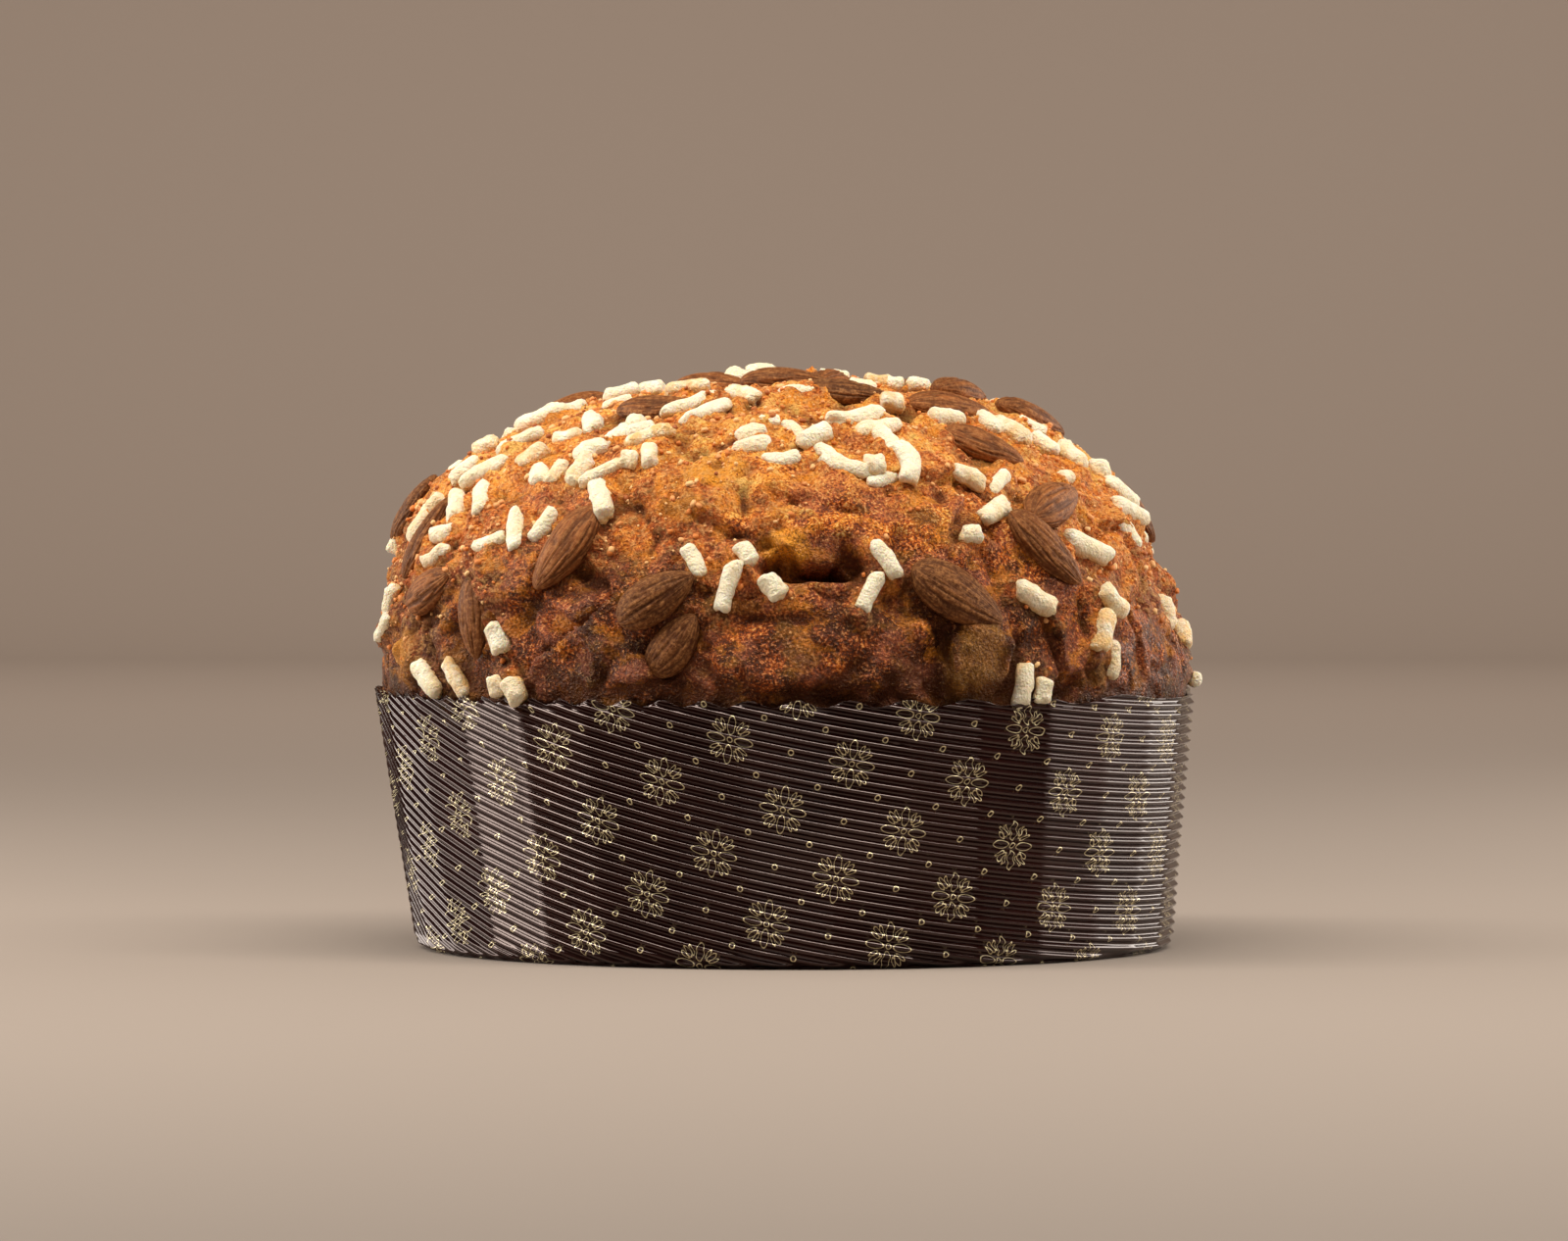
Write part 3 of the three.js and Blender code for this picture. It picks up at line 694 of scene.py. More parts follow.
# Sugar nibs seen from the front: across, up, length as seen and turn in the view.
FRONT_NIBS = [
    (-89, 119, 9, 88), (-82, 121, 10, 88), (-92, 112, 7, -15), (-94, 106, 8, -35),
    (-79, 109, 9, -20), (-72, 112, 10, 88), (-65, 114, 11, -53), (-107, 93, 12, 105),
    (-106, 87, 10, 125), (-77, 84, 8, 75), (-94, 73, 10, 58), (-88, 73, 11, 60),
    (-76, 71, 6, 80), (-71, 70, 7, 60), (-99, 115, 11, 120), (-103, 106, 7, 118),
    (-86, 128, 10, -38), (-81, 128, 14, -24), (-80, 134, 7, -25), (-71, 136, 13, -22),
    (-66, 143, 15, -20), (-57, 146, 6, 0), (-52, 142, 10, 70), (-59, 138, 7, -8),
    (-68, 132, 9, -40), (-66, 127, 6, 80), (-61, 128, 7, -52), (-52, 133, 9, -22),
    (-55, 128, 9, -55), (-49, 127, 13, -27), (-49, 120, 11, 75), (-45, 148, 10, -10),
    (-36, 151, 7, 0), (-26, 150, 11, -5), (-25, 146, 15, -28), (-20, 144, 14, -28),
    (-11, 148, 10, 25), (-10, 155, 12, 3), (4, 149, 11, -3), (-40, 141, 5, 80),
    (-45, 138, 7, -40), (-38, 139, 8, -20), (-36, 136, 13, -16), (-36, 131, 7, 75),
    (-9, 138, 8, -15), (-8, 134, 11, -8), (-1, 131, 10, -5), (-4, 141, 6, 0),
    (3, 139, 8, 38), (8, 137, 9, -22), (12, 133, 8, 35), (20, 142, 18, -10),
    (25, 139, 11, -8), (29, 146, 7, 5), (21, 151, 7, 20), (14, 154, 9, 5),
    (26, 153, 7, 5), (38, 153, 6, 0), (44, 143, 9, -3), (28, 134, 9, 50),
    (32, 128, 10, 75), (17, 129, 9, 20), (27, 126, 9, -20), (49, 126, 10, 25),
    (58, 126, 9, -40), (56, 117, 9, -30), (58, 146, 6, 90), (55, 141, 8, 50),
    (61, 139, 11, 37), (67, 140, 10, 30), (70, 136, 9, 40), (77, 132, 9, 55),
    (90, 122, 12, 28), (92, 117, 14, 14), (92, 112, 11, 52), (81, 107, 15, 25),
    (67, 94, 12, 30), (86, 93, 9, 48), (84, 85, 11, 105), (87, 78, 10, 95),
    (105, 91, 10, 80), (108, 85, 7, 95), (64, 71, 12, 100), (69, 70, 7, 100),
    (-10, 106, 6, 60), (-3, 97, 7, 55), (27, 104, 11, 55), (23, 96, 11, 117),
    (-24, 104, 9, 62), (-15, 97, 14, 108), (-94, 120, 5, -40), (-44, 149, 9, -18),
    (-41, 130, 4, 0), (31, 154, 5, 0), (24, 128, 5, 0), (76, 127, 5, 0),
    (84, 128, 5, 0), (98, 112, 5, 0), (49, 110, 5, 0), (109, 73, 5, 0),
]
# Nibs with a strong bend: across and up as in the list above, then length along the crust and bend.
BENT_NIBS = [(20, 142, 19, 1.5), (32, 128, 15, -2.4), (17, 129, 15, 2.2), (81, 107, 15, 0.8)]
LONG_BACK_NIBS = 28
SHORT_BACK_NIBS = 92
BACK_NIBS_AZIMUTH = (102, 259)
BACK_NIBS_LOWEST = 92
PLACES_TRIED = 6
STEEPEST_FACING = -0.45
MOST_LENGTHENED = 1.35
NIB_WIDTH = 5.3
SHORTEST_LONG_NIB = 10
# The crust rises round a nib, and glaze covers it there, from the first distance in to the second.
NIB_MOUND = 1.5
NIB_MOUND_REACH = (5.2, 1.5)
NIB_GLAZE_REACH = (6.5, 2.5)
# It rises as a rim round an almond too, by that share of the kernel's outline and that width.
ALMOND_MOUND = 1.3
ALMOND_MOUND_PLACE = 0.98
ALMOND_MOUND_WIDTH = 0.16
ALMOND_MOUND_DEPTH = 12


def seen_nib_rows():
    """Azimuth, angle down, turn and length along the crust of the seen nibs. Along = seen + view *
    (seen . out / facing), which is the way in the crust that looks as seen from the front."""
    across, up, length, turn = np.array(FRONT_NIBS, dtype=float).T
    azimuth, down = sighted(across, up)
    _, east, north, out = dome_frame(azimuth, down)
    seen = np.stack([np.cos(np.radians(turn)), 0 * turn, -np.sin(np.radians(turn))], axis=-1)
    facing = np.minimum(out[:, 1], STEEPEST_FACING)
    along = seen + np.array([0, 1, 0]) * (-(seen * out).sum(axis=-1) / facing)[:, None]
    crust_turn = np.degrees(np.arctan2(-(along * north).sum(axis=-1), (along * east).sum(axis=-1)))
    longer = np.minimum(MOST_LENGTHENED, np.linalg.norm(along, axis=-1))
    return np.stack([azimuth, down, crust_turn, length * longer], axis=-1)


def nibs_behind(taken, count, shortest, longest):
    """Nibs on the far side, spread evenly: each takes the freest of a few drawn places."""
    placed = [dome_place(azimuth, down) for azimuth, down in taken]
    rows = []
    for _ in range(count):
        tried = []
        for _ in range(PLACES_TRIED):
            azimuth = draw(*BACK_NIBS_AZIMUTH)
            tried.append((azimuth, np.sqrt(draw(0.01, 1)) * BACK_NIBS_LOWEST))
        room = [np.linalg.norm(np.array(placed) - dome_place(*place), axis=1).min() for place in tried]
        best = tried[int(np.argmax(room))]
        placed.append(dome_place(*best))
        turn = draw(-90, 90)
        rows.append((*best, turn, draw(shortest, longest)))
    return rows


front_across, front_up, *front_rest = np.array(FRONT_ALMONDS).T
front_rows = np.stack([*sighted(front_across, front_up), *front_rest], axis=-1)
almond_rows = np.concatenate([front_rows, BACK_ALMONDS])
seen_nibs = seen_nib_rows()
long_nibs = seen_nibs[np.array(FRONT_NIBS)[:, 2] >= SHORTEST_LONG_NIB]
taken_places = [tuple(row[:2]) for row in (*long_nibs, *almond_rows)]
back_nibs = nibs_behind(taken_places, LONG_BACK_NIBS, 8, 13)
taken_places += [row[:2] for row in back_nibs]
back_nibs += nibs_behind(taken_places, SHORT_BACK_NIBS, 4.5, 11)
nib_rows = np.concatenate([seen_nibs, np.array(back_nibs)])
chance = np.random.default_rng(5)
nib_width = NIB_WIDTH * chance.uniform(0.78, 1.13, len(nib_rows))
nib_bend = chance.uniform(-0.5, 0.5, len(nib_rows))
for across, up, length, bend in BENT_NIBS:
    bent = [row[:2] for row in FRONT_NIBS].index((across, up))
    nib_rows[bent, 3] = length
    nib_bend[bent] = bend


def form_lift(points, forms=CRUST_FORMS):
    """Sum of the seen forms or stains, a soft ellipse each: the lift, times a smooth step of
    1 - sideways^2 - upwards^2, where both are measured in half sizes."""
    total = np.zeros(points.shape[:-1])
    for across, above, half_width, half_height, turn, lift in forms:
        middle, east, up, out = (part[0] for part in dome_frame(*sighted([across], [above])))
        away = points - middle
        east_way, up_way = away @ east, away @ up
        bend_cos, bend_sin = np.cos(np.radians(turn)), np.sin(np.radians(turn))
        sideways = (east_way * bend_cos + up_way * bend_sin) / half_width
        upwards = (up_way * bend_cos - east_way * bend_sin) / half_height
        near = 1 - sideways ** 2 - upwards ** 2 - (away @ out / FORM_DEPTH) ** 2
        total += lift * smooth_step(1.6 * near, -0.15, 1.0)
    return total


def fold_ends():
    """Start and end of every fold on the plain dome, with its width and step: the seen ones, then
    others drawn round the far side, which mostly run downwards."""
    ends = []
    for across, up, end_across, end_up, width, step_height in CRUST_FOLDS:
        azimuths, downs = sighted([across, end_across], [up, end_up])
        ends.append((*dome_place(azimuths, downs), width, step_height))
    for number in range(BACK_FOLDS):
        azimuth = BACK_FOLDS_FROM + BACK_FOLDS_SPAN * (number + draw(0.1, 0.9)) / BACK_FOLDS
        down = draw(52, 76)
        start = dome_place(azimuth, down)
        end = dome_place(azimuth + draw(-16, 16), down + draw(14, 26))
        ends.append((start, end, draw(4, 7), draw(1.0, 2.6)))
    return ends


folds = fold_ends()


def layers(points, *rows):
    """Sum of noises, each row of which gives its height, the size of its cells and its seed."""
    return sum(height * noise(points, size, seed) for height, size, seed in rows)


def fold_shape(points):
    """Lift and lean of the folds. Raised = exp(-away / width) on the standing side, with a crease
    under its edge; the raised skin leans over the crease, so a fold overhangs."""
    lift = np.zeros(points.shape[:-1])
    lean = np.zeros(points.shape)
    wander = layers(points, (2.6, 10, 11), (0.9, 4, 12))
    for start, end, width, step_height in folds:
        run = end - start
        length = np.linalg.norm(run)
        centre = (start + end) / 2
        out = unit(centre - np.array([0, 0, DOME_FOOT - 20]))
        side = unit(np.cross(out, run / length))
        part = (points - start) @ run / length ** 2
        away = (points - start) @ side + wander
        deep = (points - centre) @ out
        ends = smooth_step(part, -0.15, 0.25) * smooth_step(-part, -1.15, -0.75)
        fade = ends * smooth_step(-np.abs(deep), -40, -20)
        raised = np.exp(-np.maximum(away, 0) / width) * smooth_step(away, -0.6, 1.1)
        crease = -0.75 * np.exp(-((away + 1.3) / 1.2) ** 2)
        lift += FOLD_STRENGTH * fade * step_height * (raised + crease)
        lean -= (FOLD_STRENGTH * fade * abs(step_height) * FOLD_LEAN * raised)[..., None] * side
    return lift, lean


def frosting(points):
    """How much crumbled glaze covers a place, 0 to 1: most of the top, in patches lower down."""
    patch = layers(points, (1, 26, 21), (0.6, 11, 22), (0.3, 5, 23))
    sides = 1.1 * smooth_step(np.abs(points[..., 0] - GLAZE_MIDDLE), *GLAZED_SIDES)
    return smooth_step((points[..., 2] - GLAZE_LINE) / GLAZE_FADE + 0.8 * patch + sides, -0.4, 0.5)


def waves_lift(points):
    """Slow waves of the whole crust, which the toppings stand on too: sin(3 * azimuth + height / 17)
    + sin(7 * azimuth - height / 9), times the wave height."""
    azimuth = np.arctan2(points[..., 0], -points[..., 1])
    height = points[..., 2]
    return WAVE_HEIGHT * (np.sin(3 * azimuth + height / 17) + np.sin(7 * azimuth - height / 9))


def topping_axes(rows):
    """Place, way along, way beside and way out of toppings from azimuth, angle down and turn."""
    azimuth, down, turn = rows[:, :3].T
    place, east, up, out = dome_frame(azimuth, down)
    along = east * np.cos(np.radians(turn))[:, None] - up * np.sin(np.radians(turn))[:, None]
    return place, along, np.cross(out, along), out


def glaze_mounds(points):
    """Rise of the crust round the toppings, by the distance from each one's middle line, and how
    much glaze sits there: it crept up round the nibs and stands as a rim round the almonds."""
    rise = np.zeros(points.shape[:-1])
    glaze = np.zeros(points.shape[:-1])
    mound_far, mound_near = NIB_MOUND_REACH
    glaze_far, glaze_near = NIB_GLAZE_REACH
    place, along, _, out = topping_axes(nib_rows)
    for index in range(len(nib_rows)):
        away = points - (place[index] + out[index])
        reach = np.clip(away @ along[index], -nib_rows[index, 3] / 2, nib_rows[index, 3] / 2)
        distance = np.linalg.norm(away - reach[..., None] * along[index], axis=-1)
        rise = np.maximum(rise, NIB_MOUND * smooth_step(-distance, -mound_far, -mound_near))
        glaze = np.maximum(glaze, smooth_step(-distance, -glaze_far, -glaze_near))
    place, along, beside, out = topping_axes(almond_rows)
    for index, (_, _, _, length, width, _) in enumerate(almond_rows):
        away = points - place[index]
        ellipse = np.hypot(away @ along[index] / (length / 2), away @ beside[index] / (width / 2))
        near = np.exp(-((ellipse - ALMOND_MOUND_PLACE) / ALMOND_MOUND_WIDTH) ** 2)
        near = near * (np.abs(away @ out[index]) < ALMOND_MOUND_DEPTH)
        rise = rise + ALMOND_MOUND * near
    return rise, glaze


# Turns the cells of the clods and pits, so that no row of them lies in the level top.
TILT = np.array([[0.8, 0.36, 0.48], [-0.6, 0.48, 0.64], [0, -0.8, 0.6]])
# The pocket in the front of the crown has a lip that hangs over it: its place across and up, its
# half width and half height, and how far it hangs.
LIP_ACROSS, LIP_UP = 9, 110
LIP_HALF_WIDTH, LIP_HALF_HEIGHT = 11, 4
LIP_HANG = 3.2


def rough_lip(plain):
    """How far the pocket's upper lip hangs down: a soft ellipse, broken up by noise."""
    sideways = ((plain[..., 0] - LIP_ACROSS) / LIP_HALF_WIDTH) ** 2
    upwards = ((plain[..., 2] - LIP_UP) / LIP_HALF_HEIGHT) ** 2
    broken = smooth_step(noise(plain, 4.2, 64), -0.4, 0.4) * 1.4
    return LIP_HANG * np.exp(-(upwards + sideways)) * (plain[..., 1] < 0) * broken


def crumble(plain, warped):
    """Rise of the crumbled glaze: rounded clods of two sizes, small pits between them and grit."""
    tilted = warped @ TILT
    big_clods = 1.3 * smooth_step(noise(tilted, 4.8, 34), -0.3, 0.35)
    small_clods = 0.9 * smooth_step(noise(plain @ TILT, 2.8, 35), -0.3, 0.35)
    pits = -1.3 * smooth_step(noise(tilted, 3.7, 36), 0.42, 0.8)
    return big_clods + small_clods + pits + 0.3 * noise(plain, 1.8, 38) - 0.8


def wrinkled(plain, warp):
    """Rise of the skin between narrow creases, which lie where noise is near zero. Its cells are
    drawn out on slants that fall away on both sides of the middle."""
    from_middle = np.sqrt(plain[..., 0] ** 2 + 100)
    flow = (plain[..., 2] - from_middle) * 0.7
    cross = (plain[..., 2] + from_middle) * 0.7
    bent = np.stack([flow / 2.1, cross, plain[..., 1] / 1.3], axis=-1) + 1.5 * warp
    creased = 1.7 * smooth_step(np.abs(noise(bent, 6.5, 39)), 0.02, 0.34) - 1.2
    return creased * (0.45 + 0.55 * smooth_step(noise(plain, 17, 40), -0.35, 0.3))


def crust_shape(azimuth, down):
    """The crust's points: the plain dome moved out by waves, forms, folds, lumps, mounds and grain,
    rough where the glaze crumbled. Gives the glaze cover and the height over its surroundings too; the
    crust's material paints shade where that height is low."""
    plain, _, up, out = dome_frame(azimuth, down)
    warp = np.stack([noise(plain, 9, seed) for seed in (61, 62, 63)], axis=-1)
    warped = plain + 2.4 * warp
    mounds, glaze = glaze_mounds(plain)
    folded, lean = fold_shape(plain)
    frosted = np.maximum(frosting(plain), glaze * (0.55 + 0.45 * noise(plain, 6, 24)))
    lumps = layers(warped, (1.5, 16, 31), (0.9, 8, 32))
    blisters = 0.6 * (1 - 2.2 * np.abs(noise(warped, 5.2, 33))) + 0.5 * noise(warped, 2.7, 37)
    detail = frosted * crumble(plain, warped) + (1 - 0.75 * frosted) * blisters
    wrinkles = wrinkled(plain, warp) * (1 - 0.45 * frosted)
    forms = form_lift(plain + 3.4 * warp)
    lift = waves_lift(plain) + forms + folded + lumps + mounds + wrinkles + detail
    points = plain + out * lift[..., None] + lean - up * rough_lip(plain)[..., None]
    # The shade depth: where it is low, the material paints shade into creases, pits and hollows.
    shade_depth = detail + 0.7 * folded + 0.5 * lumps + 0.9 * wrinkles + 0.25 * np.minimum(forms, 0)
    return points, frosted, shade_depth


# The crust's area within each angle of the crown, to spread its points evenly.
lowest_down = 90 + np.degrees(np.arctan((DOME_FOOT - CRUST_LOWEST) / DOME_RADIUS))
down_steps = np.linspace(0, lowest_down, AREA_STEPS)
slope_line = dome_place(0 * down_steps, down_steps)
strip_length = np.linalg.norm(np.diff(slope_line, axis=0), axis=1)
strip_radius = np.abs(slope_line[1:, 1] + slope_line[:-1, 1]) / 2
area = np.concatenate([[0], np.cumsum(strip_length * strip_radius)])

# A square grid is bent into a disc: its square rings become round ones, each of an equal area.
side_steps = np.linspace(-1, 1, CRUST_GRID)
square_x, square_y = np.meshgrid(side_steps, side_steps)
ring = np.maximum(np.abs(square_x), np.abs(square_y))
wide = np.abs(square_x) > np.abs(square_y)
safe_x = np.where(wide, square_x, 1)
safe_y = np.where(wide, 1, square_y)
quarter = np.where(wide, 90 - 45 * square_y / safe_x, 45 * square_x / safe_y)
crust_azimuth = quarter + np.where(wide, square_x < 0, square_y < 0) * 180
crust_down = np.interp(ring ** 2, area / area[-1], down_steps)
crust_points, crust_frost, crust_shade_depth = crust_shape(crust_azimuth, crust_down)

# Behind the rim the crust is tucked in, so that it stays inside the paper.
inside_wall = mould_radius(crust_points[..., 2]) * np.cos(np.pi / PANELS) - WALL_THICKNESS - WALL_GAP
crust_radius = np.hypot(crust_points[..., 0], crust_points[..., 1])
tuck = smooth_step(-crust_points[..., 2], -RIM_HEIGHT - TUCK_ABOVE, -RIM_HEIGHT + TUCK_BELOW)
pull = 1 - tuck * (1 - np.minimum(1, inside_wall / crust_radius))
crust_points[..., :2] *= pull[..., None]

# From the border of the grid, rings of points go down inside the mould to a flat underside.
grid_index = np.arange(CRUST_GRID ** 2).reshape(CRUST_GRID, CRUST_GRID)
border = [grid_index[0, :-1], grid_index[:-1, -1], grid_index[-1, :0:-1], grid_index[:0:-1, 0]]
border = np.concatenate(border)
border_azimuth = crust_azimuth.reshape(-1)[border]
body_rows = np.stack([mould_place(border_azimuth, height, radius) for radius, height in BODY_PROFILE])
body_index = CRUST_GRID ** 2 + np.arange(len(BODY_PROFILE) * len(border)).reshape(-1, len(border))
loops = np.concatenate([border[None], body_index])
body_quads = loops.reshape(-1)[grid_faces(*loops.shape, wrap=True)][:, [0, 3, 2, 1]]
body_middle = mould_place(np.array(0.0), BODY_PROFILE[-1][1], 0.0)


def fan(ring, tip):
    """Triangles from each step of a closed ring of point numbers to one tip."""
    return np.stack([ring, np.roll(ring, -1), np.full(len(ring), tip)], axis=-1)


loaf_points = np.concatenate([crust_points.reshape(-1, 3), body_rows.reshape(-1, 3), [body_middle]])
loaf_faces = grid_faces(CRUST_GRID, CRUST_GRID).tolist() + body_quads.tolist()
loaf_faces += fan(body_index[-1][::-1], len(loaf_points) - 1).tolist()


def add_shade(piece, name, values):
    """Number for each point of a piece, which its material reads as an attribute."""
    attribute = piece.data.attributes.new(name, "FLOAT", "POINT")
    attribute.data.foreach_set("value", np.asarray(values, dtype=np.float32).reshape(-1))


# The crust's colours, first as it bakes from pale gold to near black, then of what lies on it, then
# the painted glints and painted shade of its grain, creases and hollows.
BAKE_STOPS = [
    (0.0, (0.96, 0.56, 0.14)),
    (0.2, (0.82, 0.27, 0.034)),
    (0.42, (0.53, 0.115, 0.017)),
    (0.64, (0.26, 0.053, 0.011)),
    (0.84, (0.12, 0.025, 0.007)),
    (1.0, (0.035, 0.008, 0.003)),
]
MAUVE_FILM = (0.36, 0.11, 0.062, 1)
AMBER = (0.86, 0.30, 0.022, 1)
BRIGHT_AMBER = (0.90, 0.36, 0.03, 1)
OLIVE = (0.24, 0.105, 0.016, 1)
DARK_GLAZE = (0.44, 0.15, 0.03, 1)
BEIGE_GLAZE = (0.80, 0.43, 0.15, 1)
PAINTED_GRAIN_SHADE = (0.06, 0.013, 0.004, 1)
PAINTED_GRAIN_GLINT = (0.92, 0.55, 0.24, 1)
PAINTED_CREASE_SHADE = (0.06, 0.014, 0.004, 1)


def baked_crust():
    """Golden on top, through orange and red-brown, to near black at the rim, with beige crumbled
    glaze, a mauve sugary film in patches and a fine grain. Painted glints lie on the grain's raised
    points, and painted shade in its pits, in creases and hollows, and just above the rim, where
    painted shadow of the paper joins a darker bake."""
    sheen = {"Specular IOR Level": 0.25, "Specular Tint": (1.0, 0.7, 0.5, 1)}
    material, shader = new_material("baked_crust", sheen)
    start = Wire(material.node_tree)
    bake, frost, height, stain = map(start.attribute, ("bake", "frost", "shade_depth", "stain"))
    mottle = start.noise(8.0, detail=6.0, roughness=0.7)
    film = start.noise(12.0, detail=5.0, roughness=0.65).between(0.47, 0.58)
    grain = start.noise(0.8, detail=2.0, roughness=0.6)
    specks = start.noise(1.7, detail=4.0, roughness=0.7)
    olive = start.noise(13.0, detail=5.0, stretch=(1.2, 1.0, 1.7), roughness=0.65).between(0.55, 0.64)
    amber = start.noise(10.0, detail=4.0, stretch=(1.0, 1.0, 1.5), roughness=0.6).between(0.54, 0.63)

    # The specks are the crust's own colour. The grain's part is painted shading: darker in the grain's
    # pits and lighter on its raised points.
    specks_and_grain_shading = (specks - 0.5) * 0.5 + (0.5 - grain) * (1.9 - 1.1 * frost)
    tone = (bake + (mottle - 0.5) * 2.0 + specks_and_grain_shading).clamped()
    colour = start.node("ShaderNodeValToRGB", {"stops": BAKE_STOPS}, {"Fac": tone}, out="Color")
    beige = specks.between(0.32, 0.66).mix(DARK_GLAZE, BEIGE_GLAZE)
    olives = olive * 0.55 * bake.between(0.1, 0.4) + stain.between(-0.1, -0.9) * 0.7
    # Painted glints on the grain's raised points.
    grain_glint_cover = grain.between(0.56, 0.66) * (0.54 - 0.32 * bake) * (1.0 - 0.4 * frost)
    coats = [
        (film * (1.0 - 0.6 * frost) * 0.5, MAUVE_FILM),
        (amber * (0.75 - 0.4 * bake), AMBER),
        (stain.between(0.1, 0.9) * mottle.between(0.3, 0.6) * 0.85, BRIGHT_AMBER),
        (olives.clamped(), OLIVE),
        (frost * specks.between(0.46, 0.60) * 0.5, beige),
        # Painted shade in the grain's pits, then painted glints on its raised points.
        (grain.between(0.48, 0.36) * (0.68 - 0.36 * frost), PAINTED_GRAIN_SHADE),
        (grain_glint_cover, PAINTED_GRAIN_GLINT),
        # Painted shade in creases, pits and hollows, and just above the rim, where the shade depth is
        # low.
        (height.between(-0.1, -1.5) * 0.78, PAINTED_CREASE_SHADE),
    ]
    for cover, coat in coats:
        colour = cover.mix(colour, coat)
    colour.into(shader, "Base Color")

    (0.28 + 0.32 * frost - 0.08 * grain.between(0.45, 0.6)).into(shader, "Roughness")
    (grain * (0.8 - 0.3 * frost) + specks * (0.8 + 0.7 * frost)).bump(shader, 1.0, 1.2)
    return material


crust_height = crust_points[..., 2]
crust_bake = DARKEST_BAKE - smooth_step(crust_height, *BAKE_HEIGHTS) * BAKE_RANGE
crust_bake = crust_bake + 0.16 * noise(crust_points, 30, 41)
at_sides = smooth_step(np.abs(crust_points[..., 0]), 60, 95) * smooth_step(crust_height, 70, 84)
crust_bake = crust_bake - PALER_SIDES * at_sides
# Towards the rim the shade depth is lowered: painted shadow of the paper's rim, together with a darker
# bake there.
crust_shade_depth = crust_shade_depth - 1.5 * smooth_step(-crust_height, -SHADED_BURNT_RIM[0], -SHADED_BURNT_RIM[1])
stain_edges = crust_points + 2.5 * noise(crust_points, 5, 65)[..., None]
crust_stain = form_lift(stain_edges, CRUST_STAINS)
crust = add_piece("crust", loaf_points, loaf_faces, baked_crust())
hidden = np.zeros(len(loaf_points) - CRUST_GRID ** 2)
add_shade(crust, "bake", np.append(crust_bake, hidden + HIDDEN_BAKE))
add_shade(crust, "frost", np.append(crust_frost, hidden))
add_shade(crust, "shade_depth", np.append(crust_shade_depth, hidden))
add_shade(crust, "stain", np.append(crust_stain, hidden))
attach(crust, "root")
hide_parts("bread")


def standing_lift(places):
    """Height over the plain dome at which a topping stands, without the finest grain."""
    return waves_lift(places) + form_lift(places) + fold_shape(places)[0] + 1.5 * noise(places, 16, 31)


# The almonds: whole kernels in their ridged skins, blunt at one end and pointed at the other,
# pressed into the glaze before baking.
ALMOND_FLATNESS = 0.68
ALMOND_RINGS = 52
ALMOND_SIDES = 96
ALMOND_BLUNTNESS = 0.56
ALMOND_TAPER = 0.2
SWELL = 0.05
SWELL_SIZE = 4.5
END_ANGLE = 0.06
THINNEST = 0.12
BOW = 0.5
RIDGE_SIZE = 1.25
RIDGE_STRETCH = 0.07
RIDGE_DEPTH = 0.42
# Shift of the streaks from one kernel to the next, so that no two look alike.
STREAK_SHIFT = 3.3
SKIN_BROWN = (0.25, 0.078, 0.020)
SKIN_DARK = (0.10, 0.027, 0.008)
SKIN_DUST = (0.50, 0.22, 0.075, 1)
PAINTED_GROOVE_SHADE = (0.055, 0.014, 0.005, 1)


def almond_skin(name, tone):
    """Brown skin with dustier and darker streaks along the kernel, and painted shade in its grooves.
    """
    sheen = {"Specular IOR Level": 0.25, "Specular Tint": (1.0, 0.72, 0.5, 1)}
    material, shader = new_material(name, sheen)
    start = Wire(material.node_tree)
    kernel = start.node("ShaderNodeUVMap", {"uv_map": "kernel"}, {})
    streaks = start.node("ShaderNodeMapping", {}, {"Vector": kernel, "Scale": (1.0, 9.0, 1.0)})
    values = {"Vector": streaks, "Scale": 1.4, "Detail": 5.0, "Roughness": 0.65}
    streak = start.node("ShaderNodeTexNoise", {}, values)
    dust = start.noise(1.1, detail=4.0, roughness=0.75)
    brown, dark = np.append(np.array([SKIN_BROWN, SKIN_DARK]) * tone, [[1], [1]], axis=1).tolist()
    striped = streak.between(0.62, 0.38).mix(brown, dark)
    dusted = (dust.between(0.44, 0.66) * 0.6).mix(striped, SKIN_DUST)
    # Painted shade in the grooves.
    (start.attribute("groove") * 0.75).mix(dusted, PAINTED_GROOVE_SHADE).into(shader, "Base Color")
    (0.62 - 0.2 * streak).into(shader, "Roughness")
    (streak + 0.6 * dust).bump(shader, 0.7, 0.5)
    return material


def end_fans(rings, sides):
    """Triangles that close both ends of a tube, whose two tips follow its rings of points."""
    ring = np.arange(sides)
    last = (rings - 1) * sides
    return np.concatenate([fan(ring[::-1], rings * sides), fan(ring + last, rings * sides + 1)])


